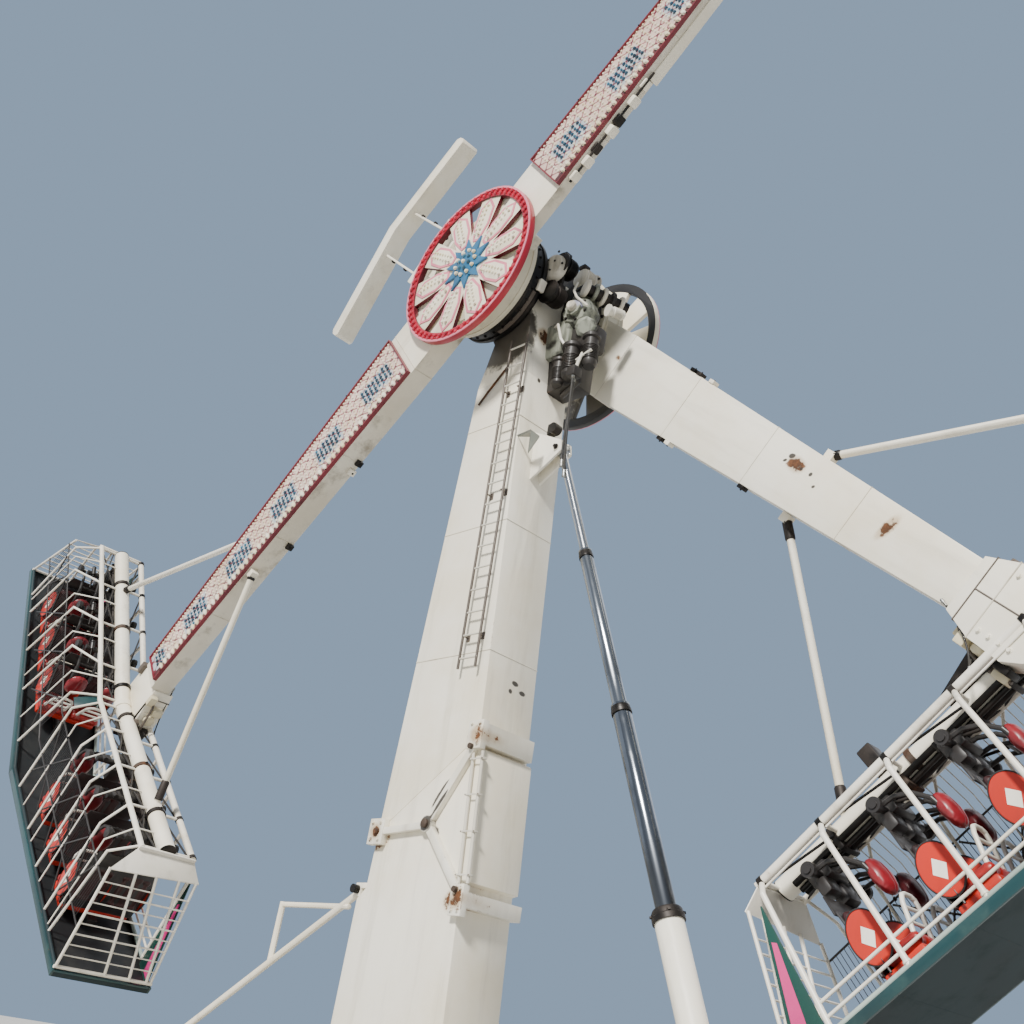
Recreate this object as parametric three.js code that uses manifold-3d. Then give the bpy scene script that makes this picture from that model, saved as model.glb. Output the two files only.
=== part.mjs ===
// Kamikaze fairground ride: a mast with two counter-rotating arms and caged gondolas.
// Millimetres, Z up, origin on the ground at the mast. X runs along the base, arms turn about Y.
import * as THREE from "three";
import Module from "manifold-3d";

const wasm = await Module();
wasm.setup();
const { Manifold, CrossSection } = wasm;

// Driving dimensions
const AXIS_Z = 11500;
const ARM_ANGLE = { front: -139.3, rear: -39.8 };
const ARM_Y = [-1080, -765];
const TAIL_INNER_Y = -900;
const ARM_HALF_HUB = 500;
const ARM_HALF_TIP = 232;
const ARM_TIP_R = 7900;
const TAIL_R = 4850;
const HUB_R = 880;
const RING_R = 800;
const DISC_R = 1205;
const RIM_WIDTH = 140;
const DISC_Y = { front: -1185, rear: -1490 };
const PETALS = 10;
const ROOF_R = 8580;
const BEND = THREE.MathUtils.degToRad(8.75);
const HALF_LENGTH = 3440;
const GONDOLA_Y = -1110;
const ROOF_HALF = 380;
const WALL_OUT = -800;
const WALL_IN = 530;
const SILL = [1660, 1520];
const FLOOR = [1720, 1580];
const TUB_BOTTOM = [1800, 1640];
const FLOOR_END = 4096;
const RIBS = [
  [80, 150, 250], [750, 1120, 1290], [1650, 1970, 2130], [2550, 2860, 3010], [3420, 3420, 3420],
];
const ROW_PITCH = 865;
const ROW_END = 2900;
const MAST_HALF_Y = 390;
const BASE_TOP = 750;
const GAP = 0.3;

// Small geometry helpers
const vec = (x, y, z) => new THREE.Vector3(x, y, z);

function box(x0, x1, y0, y1, z0, z1) {
  return Manifold.cube([x1 - x0, y1 - y0, z1 - z0]).translate([x0, y0, z0]);
}

function join(list) {
  return Manifold.union(list);
}

// A solid between two points, tapering from one radius to the other
function bar(p, q, r0, sides = 6, r1 = r0) {
  const a = vec(...p);
  const b = vec(...q);
  const d = b.clone().sub(a);
  const turn = new THREE.Quaternion().setFromUnitVectors(vec(0, 0, 1), d.clone().normalize());
  const m = new THREE.Matrix4().compose(a, turn, vec(1, 1, 1));
  return Manifold.cylinder(d.length(), r0, r1, sides).transform(m.elements);
}

// Bars through a run of points; round bars get a ball at every inner corner, thin ones run past it
function run(points, r, sides = 4) {
  const out = [];
  const last = points.length - 1;
  for (let i = 1; i <= last; i += 1) {
    const a = vec(...points[i - 1]);
    const b = vec(...points[i]);
    const past = b.clone().sub(a).setLength(sides < 8 ? r * 0.6 : 0);
    const p = i > 1 ? a.clone().sub(past) : a;
    const q = i < last ? b.clone().add(past) : b;
    out.push(bar(p.toArray(), q.toArray(), r, sides));
    if (sides >= 8 && i < last) out.push(Manifold.sphere(r * 1.02, sides).translate(points[i]));
  }
  return join(out);
}

// A plate drawn in the XZ plane and given thickness along Y
function plate(points, y0, y1) {
  const flat = new CrossSection([points.map(([x, z]) => [x, z])], "NonZero");
  return flat.extrude(y1 - y0).rotate([90, 0, 0]).translate([0, y1, 0]);
}

// A cylinder along Y around a centre in the XZ plane
function drum(x, z, r, y0, y1, sides = 48) {
  return Manifold.cylinder(y1 - y0, r, r, sides).rotate([-90, 0, 0]).translate([x, y0, z]);
}

const armHalf = (r) => ARM_HALF_HUB
  + ((ARM_HALF_TIP - ARM_HALF_HUB) * Math.max(0, Math.abs(r) - 1500)) / 7500;

// Gondola place: s along one half from the bend, w outward from the roof, y across
function seatPlace(half, s, w, y) {
  return [
    ROOF_R - s * Math.sin(BEND) + w * Math.cos(BEND),
    GONDOLA_Y + y,
    half * (s * Math.cos(BEND) + w * Math.sin(BEND)),
  ];
}

// A box drawn in one gondola half
function halfBox(half, s0, s1, w0, w1, y0, y1) {
  const b = box(w0, w1, y0, y1, half > 0 ? s0 : -s1, half > 0 ? s1 : -s0);
  const turn = (half * BEND * 180) / Math.PI;
  return b.rotate([0, -turn, 0]).translate([ROOF_R, GONDOLA_Y, 0]);
}

// Depth of a line that runs from one depth at the bend to another at the floor's end
function depthAt([middle, end], s) {
  const start = -middle * Math.tan(BEND);
  return middle + ((end - middle) * (s - start)) / (FLOOR_END - start);
}

// A plate in the plane of the arm between two such lines, following both halves
function bentPlate(upper, lower, y0, y1) {
  const c = Math.cos(BEND);
  const sn = Math.sin(BEND);
  const end = (w) => [ROOF_R - FLOOR_END * sn + w * c, FLOOR_END * c + w * sn];
  const mid = (w) => [ROOF_R + w / c, 0];
  const flip = ([r, t]) => [r, -t];
  const pts = [
    mid(upper[0]), flip(end(upper[1])), flip(end(lower[1])),
    mid(lower[0]), end(lower[1]), end(upper[1]),
  ];
  return plate(pts, GONDOLA_Y + y0, GONDOLA_Y + y1);
}

// Arm group: every solid is drawn with the arm along +X at height 0, outer side at -Y
function armSolids(side) {
  const out = {};
  const main = plate([
    [-900, -500], [1500, -500], [ARM_TIP_R, -armHalf(ARM_TIP_R)],
    [ARM_TIP_R, armHalf(ARM_TIP_R)], [1500, 500], [-900, 500],
  ], ARM_Y[0], ARM_Y[1]);
  const tail = plate([
    [-TAIL_R, -armHalf(TAIL_R)], [-1500, -500], [-800, -500],
    [-800, 500], [-1500, 500], [-TAIL_R, armHalf(TAIL_R)],
  ], ARM_Y[0], TAIL_INNER_Y);
  out.arm_beam = main.add(tail);
  const beamCut = join([
    box(-900 - GAP, 1000, ARM_Y[0] - 60, ARM_Y[1] + GAP, -500 - GAP, 500 + GAP),
    box(-1000, -800, ARM_Y[0] - 60, TAIL_INNER_Y + GAP, -500 - GAP, 500 + GAP),
  ]);
  out.hub_drum = drum(0, 0, HUB_R, -1079, -700, 56).subtract(beamCut);
  const panel = (a, b) => plate([
    [a, -armHalf(a) + 10], [b, -armHalf(b) + 10], [b, armHalf(b) - 10], [a, armHalf(a) - 10],
  ], ARM_Y[0] - 60, ARM_Y[0] - GAP);
  out.gondola_light_panel = panel(1580, 7750);
  out.tail_light_panel = panel(-4780, -1580);
  // Open light wheel: a star of petals inside a rim, held off the arm by its boss
  const y = DISC_Y[side];
  const windows = [];
  for (let k = 0; k < PETALS; k += 1) {
    const window = plate([[500, 0], [1300, -190], [1300, 190]], y - 10, y + 200);
    windows.push(window.rotate([0, (k + 0.5) * (360 / PETALS), 0]));
  }
  const inner = DISC_R - RIM_WIDTH;
  const star = drum(0, 0, inner - GAP, y + 25, y + 85, 60).subtract(join(windows));
  out.disc_face = star.add(drum(0, 0, 300, y + 60, ARM_Y[0] - GAP, 24));
  out.disc_rim = drum(0, 0, DISC_R, y, y + 90, 60).subtract(drum(0, 0, inner, y - 10, y + 200, 60));
  out.end_box = endBox(0).subtract(roofBeam(115 + GAP * 3));
  out.roof_beam = roofBeam(115);
  // Struts from the arm to the roof beam, one on each side of the arm
  for (const [name, k] of [["upper_strut", -1], ["lower_strut", 1]]) {
    const a = [5386, -1010, k * (armHalf(5386) + 60.5)];
    const b = seatPlace(k, 2489, -80, 0);
    out[name] = strut(a, b, k).subtract(roofBeam(115 + GAP * 2));
  }
  // Counterweight: bent slab on two link plates and a cross plate at the tail
  const cw = 0.18;
  const e = (r, t) => [-(r - Math.abs(t) * Math.sin(cw)), t * Math.cos(cw)];
  const slab = plate([
    [-6933, 0], e(6933, 2280), e(7005, 2345), e(7135, 2345), e(7206, 2280),
    [-7206, 0], e(7206, -2095), e(7135, -2160), e(7005, -2160), e(6933, -2095),
  ], -1210, -836);
  const links = [-1, 1].map((k) => box(-7000, -4990, -1020, -950, k * 480 - 22, k * 480 + 22));
  out.counterweight = join([
    slab, ...links, box(-5000, -TAIL_R - GAP, -1140, -700, -670, 670),
  ]);
  return out;
}

// End box that clamps the roof beam of the gondola, drawn larger by a margin for cutting
function endBox(margin) {
  const outline = [
    [ARM_TIP_R + GAP, -300], [8240, -410], [8640, -430], [8840, -330],
    [8840, 330], [8640, 430], [8240, 410], [ARM_TIP_R + GAP, 300],
  ];
  const flat = new CrossSection([outline], "NonZero").offset(margin, "Miter");
  return flat.extrude(320 + 2 * margin).rotate([90, 0, 0]).translate([0, -700 + margin, 0]);
}

// Round roof beam with a collar at the bend
function roofBeam(r) {
  const end = r - 60;
  return run([
    seatPlace(-1, HALF_LENGTH - 20, 0, 0), [ROOF_R, GONDOLA_Y, 0],
    seatPlace(1, HALF_LENGTH - 20, 0, 0),
  ], r, 16).add(bar([ROOF_R, GONDOLA_Y, -end], [ROOF_R, GONDOLA_Y, end], r + 22, 16));
}

function strut(a, b, side) {
  const d = vec(...b).sub(vec(...a)).normalize();
  const at = (p, k) => [p[0] + d.x * k, p[1] + d.y * k, p[2] + d.z * k];
  return join([
    bar(at(a, 0), at(b, 0), 44, 12),
    box(-60, 60, -55, 55, side > 0 ? -57 : -50, side > 0 ? 50 : 57).translate(a),
  ]);
}

// Place along a half where the leaning end wall stands at depth w
const endWall = (w) => 3680 + ((w - 270) * 376) / 1250;

// Gondola solids, in the same frame as the arm
function gondolaSolids() {
  const out = {};
  const path = (line, y, s) => [
    seatPlace(-1, s, depthAt(line, s), y),
    [ROOF_R + line[0] / Math.cos(BEND), GONDOLA_Y + y, 0],
    seatPlace(1, s, depthAt(line, s), y),
  ];
  const outer = [
    run(path([0, 0], -ROOF_HALF, HALF_LENGTH + 20), 38, 6),
    run(path([420, 420], -757, endWall(420)), 12),
    run(path([1020, 1020], -777, endWall(1020)), 12),
    run(path(SILL, WALL_OUT, endWall(SILL[1])), 24),
  ];
  const frameLine = (w) => 3412 + (w - 190) * 0.115;
  const inner = [
    run(path([0, 0], ROOF_HALF, HALF_LENGTH), 46, 7),
    run(path([1370, 1270], WALL_IN, frameLine(1270)), 16),
    run(path([1520, 1400], WALL_IN, frameLine(1400)), 16),
    run(path(SILL, WALL_IN, frameLine(SILL[1])), 26),
  ];
  for (const half of [-1, 1]) {
    const at = (s, w, y) => seatPlace(half, s, w, y);
    // Shaped ribs of the outer wall
    for (const [top, bend, foot] of RIBS) {
      outer.push(run([
        at(top, 0, -115.5), at(top, 0, -ROOF_HALF), at(bend, 200, -750),
        at(foot, depthAt(SILL, foot), WALL_OUT),
      ], 18));
    }
    // Posts of the inner side
    for (let k = 0; k < 5; k += 1) {
      const s = k < 4 ? k * ROW_PITCH + 10 : HALF_LENGTH - 28;
      const foot = k < 4 ? s + 70 : frameLine(SILL[1]);
      inner.push(run([
        at(s, 0, ROOF_HALF), at(s, 190, WALL_IN), at(foot, depthAt(SILL, foot), WALL_IN),
      ], 28, 5));
      inner.push(bar(at(s, 0, 115.5), at(s, 0, ROOF_HALF), 22, 4));
    }
    // End: lintel, sloping eave plate and leaning bars with cross rungs
    outer.push(halfBox(half, HALF_LENGTH + 1, HALF_LENGTH + 36, -24, 24, -420, 420));
    const eave = [];
    for (const w of [0, 14]) {
      eave.push(at(HALF_LENGTH + 5, w, -400), at(HALF_LENGTH + 5, w, 400));
      eave.push(at(3690, 255 + w, -740), at(3650, 190 + w, 548));
    }
    outer.push(Manifold.hull(eave));
    const depth = SILL[1];
    const low = endWall(depth);
    for (const [y0, y1] of [[-720, WALL_OUT], [-360, -130], [-70, 220], [260, 470], [510, 530]]) {
      const k = (y0 + 720) / 1230;
      outer.push(bar(at(3672 - 36 * k, 250 - 55 * k, y0), at(low, depth, y1), 20, 4));
    }
    outer.push(bar(at(low, depth, WALL_OUT - 24), at(low, depth, 554), 22, 4));
    for (const w of [560, 830, 1100]) {
      outer.push(bar(at(endWall(w), w, -795), at(endWall(w), w, 535), 12, 4));
    }
  }
  const cut = join([endBox(GAP * 2), roofBeam(115 + GAP * 2)]);
  out.outer_cage = join(outer).subtract(cut);
  out.inner_cage = join(inner).subtract(cut);
  // Floor tub: floor plate, side panels, end panels and the raking cheeks of the inner side
  const tub = [
    bentPlate(FLOOR, TUB_BOTTOM, -830, 565),
    bentPlate(SILL.map((w) => w + 27.8), TUB_BOTTOM, -830, -795),
    bentPlate(SILL.map((w) => w + 30), TUB_BOTTOM, 530, 565),
  ];
  for (const half of [-1, 1]) {
    tub.push(halfBox(half, FLOOR_END - 34, FLOOR_END - 4, 1552, 1636, -820, 555));
    const cheek = [[3492, 255], [3505, 250], [4050, 1636], [3616, 1636]];
    const hull = [];
    for (const [s, w] of cheek) {
      hull.push(seatPlace(half, s, w, 508), seatPlace(half, s, w, 548));
    }
    tub.push(Manifold.hull(hull).subtract(halfBox(half, 3400, 4300, 200, 1560, 522, 600)));
  }
  out.floor_tub = join(tub);
  // Seats and lap hoops, three rows of two in each half, all facing the middle
  for (const [name, half] of [["upper_seats", -1], ["lower_seats", 1]]) {
    const rail = [];
    for (const s of [750, 3080]) {
      for (const y of [-210, -70]) {
        rail.push(seatPlace(half, s, 1500, y), seatPlace(half, s, depthAt(FLOOR, s) - GAP, y));
      }
    }
    const seats = [Manifold.hull(rail)];
    for (let row = 0; row < 3; row += 1) {
      const s = ROW_END - row * ROW_PITCH;
      seats.push(halfBox(half, s - 380, s + 80, 1400, 1505, -640, 360));
      for (const y of [-690, -135]) {
        seats.push(halfBox(half, s - 420, s + 60, 1285, 1405, y + 5, y + 545));
        seats.push(halfBox(half, s - 10, s + 90, 700, 1405, y + 5, y + 545));
        seats.push(run([
          seatPlace(half, s - 340, 1330, y + 110), seatPlace(half, s - 460, 930, y + 140),
          seatPlace(half, s - 460, 930, y + 410), seatPlace(half, s - 340, 1330, y + 440),
        ], 18));
      }
      for (const y of [-704, -148, 405]) {
        const disc = Manifold.cylinder(20, 265, 265, 12).rotate([-90, 0, 0])
          .scale([1, 1, 0.68]).rotate([0, (-half * BEND * 180) / Math.PI, 0]);
        seats.push(disc.translate(seatPlace(half, s - 40, 1100, y)));
      }
    }
    out[name] = join(seats);
  }
  return out;
}

// Fixed structure
const FOOT = [4510, 0, 1020];
const EYE = [1180, 0, 8850];
const pin = (p, r, h) => drum(p[0], p[2], r, -h, h, 24);

// A pair of lugs with the pin between them
function ears(p, points, y, thick, r) {
  return join([plate(points, y, y + thick), plate(points, -y - thick, -y), pin(p, r, y + thick + 10)]);
}

const left = (z) => [-283 - (8764 - z) * 0.0423, z];
const right = (z) => [830 + (7600 - z) * 0.061, z];
const JOINT_LEFT = 4050;
const JOINT_RIGHT = 5080;
const MAST_TOP = 10000;

function mastSolids() {
  const out = {};
  const y = MAST_HALF_Y;
  out.lower_mast = plate([
    [-665, BASE_TOP + GAP], right(BASE_TOP + GAP), right(3480), [right(3480)[0] + 85, 3500],
    [right(4940)[0] + 85, 4920], right(4940), right(JOINT_RIGHT), left(JOINT_LEFT),
    left(3420), [-640, 3300],
  ], -y, y);
  out.upper_mast = plate([
    left(JOINT_LEFT + GAP * 2), right(JOINT_RIGHT + GAP * 2), right(MAST_TOP), left(MAST_TOP),
  ], -y, y).add(ears(EYE, [
    [right(8480)[0] - 20, 8480], [EYE[0] + 90, EYE[2] - 60],
    [EYE[0] + 60, EYE[2] + 90], [right(9200)[0] - 20, 9200],
  ], 65, 35, 40));
  out.mast_head = join([
    plate([
      [left(MAST_TOP)[0], MAST_TOP + GAP], [right(MAST_TOP)[0], MAST_TOP + GAP],
      [540, 11300], [0, 11700], [-440, 11300], [-60, 10650],
    ], -y, y),
    drum(0, AXIS_Z, 560, -400, 400, 48),
  ]);
  out.front_slewing_ring = drum(0, AXIS_Z, RING_R, -700 + GAP, -400 - GAP, 48);
  out.rear_slewing_ring = drum(0, AXIS_Z, RING_R, 400 + GAP, 700 - GAP, 48);
  out.front_drive_motors = motors([13, -20], -1);
  out.rear_drive_motors = motors([16, -8, -32], 1);
  out.ladder = ladder();
  return out;
}

// Drive motors on one bracket that hugs the mast head; angles run from high to low
function motors(angles, side) {
  const rad = angles.map((a) => THREE.MathUtils.degToRad(a));
  const y = (a, b) => (side > 0 ? [a, b] : [-b, -a]);
  const parts = [];
  const spots = rad.map((a) => [900 * Math.cos(a), AXIS_Z + 900 * Math.sin(a)]);
  const wedge = plate([
    [0, AXIS_Z], ...[1, 0.5, 0].map((k) => {
      const a = rad[rad.length - 1] * k + rad[0] * (1 - k);
      return [1300 * Math.cos(a), AXIS_Z + 1300 * Math.sin(a)];
    }).sort((p, q) => Math.atan2(p[1] - AXIS_Z, p[0]) - Math.atan2(q[1] - AXIS_Z, q[0])),
  ], -900, 900);
  const [b0, b1] = y(180, 215);
  parts.push(drum(0, AXIS_Z, 900, b0, b1, 48).intersect(wedge)
    .subtract(drum(0, AXIS_Z, 560 + GAP, -900, 900, 48))
    .subtract(box(-700, 565, -900, 900, 9900, 11312)));
  for (const [x, z] of spots) {
    const [m0, m1] = y(130, 390);
    parts.push(drum(x, z, 160, m0, m1, 16));
    const [n0, n1] = y(6, 130);
    parts.push(drum(x, z, 125, n0, n1, 12));
  }
  return join(parts);
}

function ladder() {
  const y = -MAST_HALF_Y - 90;
  const line = (z) => 662 - (z - 5880) * 0.0226;
  const half = 148;
  const parts = [];
  const z0 = 5880;
  const z1 = 10490;
  for (const k of [-half, half]) {
    parts.push(bar([line(z0) + k, y, z0], [line(z1) + k, y, z1], 18, 6));
  }
  for (let z = z0 + 120; z < z1; z += 290) {
    parts.push(bar([line(z) - half, y, z], [line(z) + half, y, z], 13, 6));
  }
  for (const z of [z0 + 410, (z0 + z1) / 2, 9700]) {
    for (const k of [-half, half]) {
      const inner = k > 0 ? -70 : -12;
      parts.push(box(inner, 12, y, -MAST_HALF_Y - GAP, -20, 20).translate([line(z) + k, 0, z]));
    }
  }
  return join(parts);
}

// Lifting cylinder between the base and the mast lugs, drawn out in three stages
function liftSolids() {
  const out = {};
  const d = vec(...EYE).sub(vec(...FOOT));
  const length = d.length();
  d.normalize();
  const at = (k) => [FOOT[0] + d.x * k, 0, FOOT[2] + d.z * k];
  out.cylinder_barrel = join([
    bar(at(0), at(2500), 140, 24),
    bar(at(0), at(900), 165, 24),
    pin(FOOT, 150, 150),
  ]).subtract(pin(FOOT, 60 + GAP, 300));
  out.cylinder_stage_1 = bar(at(2500 + GAP), at(4740), 100, 24);
  out.cylinder_stage_2 = bar(at(4740 + GAP), at(6850), 78, 24);
  out.cylinder_rod = join([
    bar(at(6850 + GAP), at(length - 20), 52, 20),
    pin(EYE, 90, 60),
  ]).subtract(pin(EYE, 40 + GAP, 300));
  return out;
}

// Locking links across the mast joint, on the face below the front arm
function jointSolids() {
  const out = {};
  const y1 = -MAST_HALF_Y - GAP;
  const y0 = y1 - 70;
  const link = (p, q, h) => {
    const d = vec(q[0] - p[0], 0, q[1] - p[1]).normalize();
    const n = [-d.z * h, d.x * h];
    return plate([
      [p[0] - n[0], p[1] - n[1]], [q[0] - n[0], q[1] - n[1]],
      [q[0] + n[0], q[1] + n[1]], [p[0] + n[0], p[1] + n[1]],
    ], y0, y1);
  };
  // The links end in clevises that wrap round the corners of the mast
  out.joint_links = join([
    link([990, 4950], [430, 4100], 45),
    link([430, 4100], [1130, 3370], 45),
    link([-400, 4035], [430, 4090], 38),
    drum(430, 4100, 90, y0 - 10, y1, 20),
    box(878, 1115, y0 - 10, y1, 4910, 5230),
    box(right(4960)[0] + GAP, 1115, y0 - 10, 340, 4960, 5200),
    box(1040, 1235, y0 - 10, y1, 3140, 3460),
    box(right(3230)[0] + GAP, 1235, y0 - 10, 400, 3230, 3390),
    box(-555, -300, y0 - 10, y1, 3890, 4180),
  ]);
  return out;
}

function baseSolids() {
  const out = {};
  const beams = [-1, 1].map((k) => box(-5700, 5400, k * 550 - 110, k * 550 + 110, 400, BASE_TOP));
  const crosses = [-5550, -5050, -3600, -1500, 2600, 4510, 5250].map(
    (x) => box(x - 150, x + 150, -640, 640, 430, BASE_TOP),
  );
  const feet = [[-1100, -550], [-1100, 550], [1600, -550], [1600, 550]].map(
    ([x, y]) => Manifold.cylinder(435, 190, 150, 20).translate([x, y, 0]),
  );
  const lugs = ears(FOOT, [
    [FOOT[0] - 140, BASE_TOP - 20], [FOOT[0] + 140, BASE_TOP - 20],
    [FOOT[0] + 110, FOOT[2] + 110], [FOOT[0] - 110, FOOT[2] + 110],
  ], 170, 40, 60);
  out.base_frame = join([
    ...beams, ...crosses, ...feet, lugs,
    box(-900, 1500, -640, 640, 430, BASE_TOP),
    box(-300, 300, -300, 300, 0, 435),
  ]);
  for (const [name, x] of [["left_outrigger", -4600], ["right_outrigger", 3500]]) {
    const parts = [box(x - 130, x + 130, -2900, 2900, 180, 400 - GAP)];
    for (const y of [-2700, 2700]) {
      parts.push(Manifold.cylinder(60, 300, 300, 24).translate([x, y, 0]));
      parts.push(Manifold.cylinder(560, 80, 80, 16).translate([x, y, 40]));
    }
    out[name] = join(parts);
  }
  // Raking stay on the side away from the cylinder, with its small post and rail
  const y = -300;
  const top = [-690, y, 3400];
  const foot = [-5050, y, 950];
  const mid = (k) => [top[0] + (foot[0] - top[0]) * k, y, top[2] + (foot[2] - top[2]) * k];
  out.back_stay = join([
    bar(top, foot, 42, 12),
    box(foot[0] - 145, foot[0] + 145, -440, -160, BASE_TOP + GAP, 985),
    box(top[0] - 50, -640 - GAP, y - 55, y + 55, 3330, 3480),
    box(top[0], left(3421)[0] - GAP, y - 55, y + 55, 3421, 3480),
    bar(mid(0.35), [mid(0.35)[0], y, 3250], 38, 8),
    bar([mid(0.35)[0], y, 3220], [mid(0.04)[0], y, 3220], 32, 8),
  ]);
  return out;
}

// Scene
const ride = new THREE.Group();
ride.name = "kamikaze_ride";

function addMesh(name, solid, look) {
  const mesh = solid.getMesh();
  const geometry = new THREE.BufferGeometry();
  const n = mesh.numProp;
  const points = new Float32Array((mesh.vertProperties.length / n) * 3);
  for (let i = 0; i < points.length / 3; i += 1) {
    for (let k = 0; k < 3; k += 1) points[3 * i + k] = mesh.vertProperties[n * i + k];
  }
  geometry.setAttribute("position", new THREE.BufferAttribute(points, 3));
  geometry.setIndex(new THREE.BufferAttribute(new Uint32Array(mesh.triVerts), 1));
  const material = new THREE.MeshStandardMaterial(look);
  const node = new THREE.Mesh(geometry, material);
  node.name = name;
  ride.add(node);
}

// Rotation that carries the drawn arm to its place; the rear arm is the same part turned over
function place(solid, side) {
  const turned = side === "rear" ? solid.rotate([180, 0, 0]) : solid;
  return turned.rotate([0, -ARM_ANGLE[side], 0]).translate([0, 0, AXIS_Z]);
}

const WHITE = { color: 0xe9e6dc, roughness: 0.5, metalness: 0.1 };
const DARK = { color: 0x2a2b2d, roughness: 0.6, metalness: 0.5 };
const LOOKS = {
  front_slewing_ring: DARK,
  rear_slewing_ring: DARK,
  front_drive_motors: DARK,
  rear_drive_motors: DARK,
  ladder: DARK,
  cylinder_stage_1: { color: 0x8d9299, roughness: 0.25, metalness: 0.9 },
  cylinder_stage_2: { color: 0x9da2a8, roughness: 0.25, metalness: 0.9 },
  cylinder_rod: { color: 0xb3b7bc, roughness: 0.2, metalness: 0.9 },
  base_frame: { color: 0xb9b6ab, roughness: 0.6, metalness: 0.2 },
  gondola_light_panel: { color: 0xd8ccc0, roughness: 0.5, metalness: 0.1 },
  tail_light_panel: { color: 0xd8ccc0, roughness: 0.5, metalness: 0.1 },
  disc_face: { color: 0xe8dfd2, roughness: 0.5, metalness: 0.1 },
  disc_rim: { color: 0xb3213a, roughness: 0.45, metalness: 0.1 },
  floor_tub: { color: 0x1f5a57, roughness: 0.5, metalness: 0.2 },
  upper_seats: { color: 0xb02a22, roughness: 0.5, metalness: 0.0 },
  lower_seats: { color: 0xb02a22, roughness: 0.5, metalness: 0.0 },
};

for (const solids of [baseSolids(), mastSolids(), jointSolids(), liftSolids()]) {
  for (const [name, solid] of Object.entries(solids)) addMesh(name, solid, LOOKS[name] ?? WHITE);
}
const gondola = gondolaSolids();
for (const side of ["front", "rear"]) {
  for (const [name, solid] of Object.entries({ ...armSolids(side), ...gondola })) {
    addMesh(`${side}_${name}`, place(solid, side), LOOKS[name] ?? WHITE);
  }
}

export default ride;
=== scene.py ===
import math

import bmesh
import bpy
from mathutils import Matrix, Vector


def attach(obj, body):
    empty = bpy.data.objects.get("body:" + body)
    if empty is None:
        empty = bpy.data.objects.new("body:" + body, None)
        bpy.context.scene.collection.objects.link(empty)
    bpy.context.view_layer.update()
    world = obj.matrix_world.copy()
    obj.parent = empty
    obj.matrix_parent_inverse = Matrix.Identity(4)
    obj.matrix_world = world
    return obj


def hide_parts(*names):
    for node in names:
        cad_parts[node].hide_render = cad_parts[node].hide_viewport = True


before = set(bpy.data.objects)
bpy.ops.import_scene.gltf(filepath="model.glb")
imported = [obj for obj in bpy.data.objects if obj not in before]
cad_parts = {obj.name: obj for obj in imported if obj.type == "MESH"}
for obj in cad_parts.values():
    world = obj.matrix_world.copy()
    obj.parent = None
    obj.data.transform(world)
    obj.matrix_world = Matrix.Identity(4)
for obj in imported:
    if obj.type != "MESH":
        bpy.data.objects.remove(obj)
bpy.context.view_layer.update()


# Camera: where the photograph was taken, at eye height close to the rear gondola, looking up
# and tilted by hand. The lens and the turns come from the machine's own straight edges.
viewpoint, focal_pixels, picture_pixels, film = (10.7643, -8.9352, 1.7412), 1188.45, 1024, 36
yaw, pitch, roll = math.radians(-49.13096), 0.439103, 0.170015
ahead = Vector((math.sin(yaw) * math.cos(pitch), math.cos(yaw) * math.cos(pitch), math.sin(pitch)))
level = Vector((math.cos(yaw), -math.sin(yaw), 0))
above = level.cross(ahead)
right = level * math.cos(roll) + above * math.sin(roll)
top = above * math.cos(roll) - level * math.sin(roll)
camera = bpy.data.objects.new("camera", bpy.data.cameras.new("camera"))
camera.data.lens = film * focal_pixels / picture_pixels
camera.data.sensor_width = film
camera.data.clip_end = 400
camera.matrix_world = Matrix.Translation(viewpoint) @ Matrix((right, top, -ahead)).transposed().to_4x4()
bpy.context.scene.collection.objects.link(camera)
bpy.context.scene.camera = camera


# Floor and light: a plain pale floor under a broad soft key from the upper left and two weak fills.
# Here too is what every finish is made of: values with arithmetic on them, and one way to add nodes.
class Value:
    """A number, colour or place that varies over a surface. Arithmetic on it adds Math nodes."""

    def __init__(self, finish, socket):
        self.finish, self.socket = finish, socket

    def math(self, operation, *others):
        return self.finish.node("ShaderNodeMath", {"operation": operation}, (self, *others))

    def __add__(self, other):
        return self.math("ADD", other)

    def __sub__(self, other):
        return self.math("SUBTRACT", other)

    def __rsub__(self, other):
        return self * -1 + other

    def __mul__(self, other):
        return self.math("MULTIPLY", other)

    __radd__, __rmul__ = __add__, __mul__

    def between(self, low, high):
        """0 below low and 1 above high, eased in between; low may be the larger."""
        return self.finish.node("ShaderNodeMapRange", {"interpolation_type": "SMOOTHSTEP"}, {
            "Value": self, "From Min": low, "From Max": high})


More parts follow.
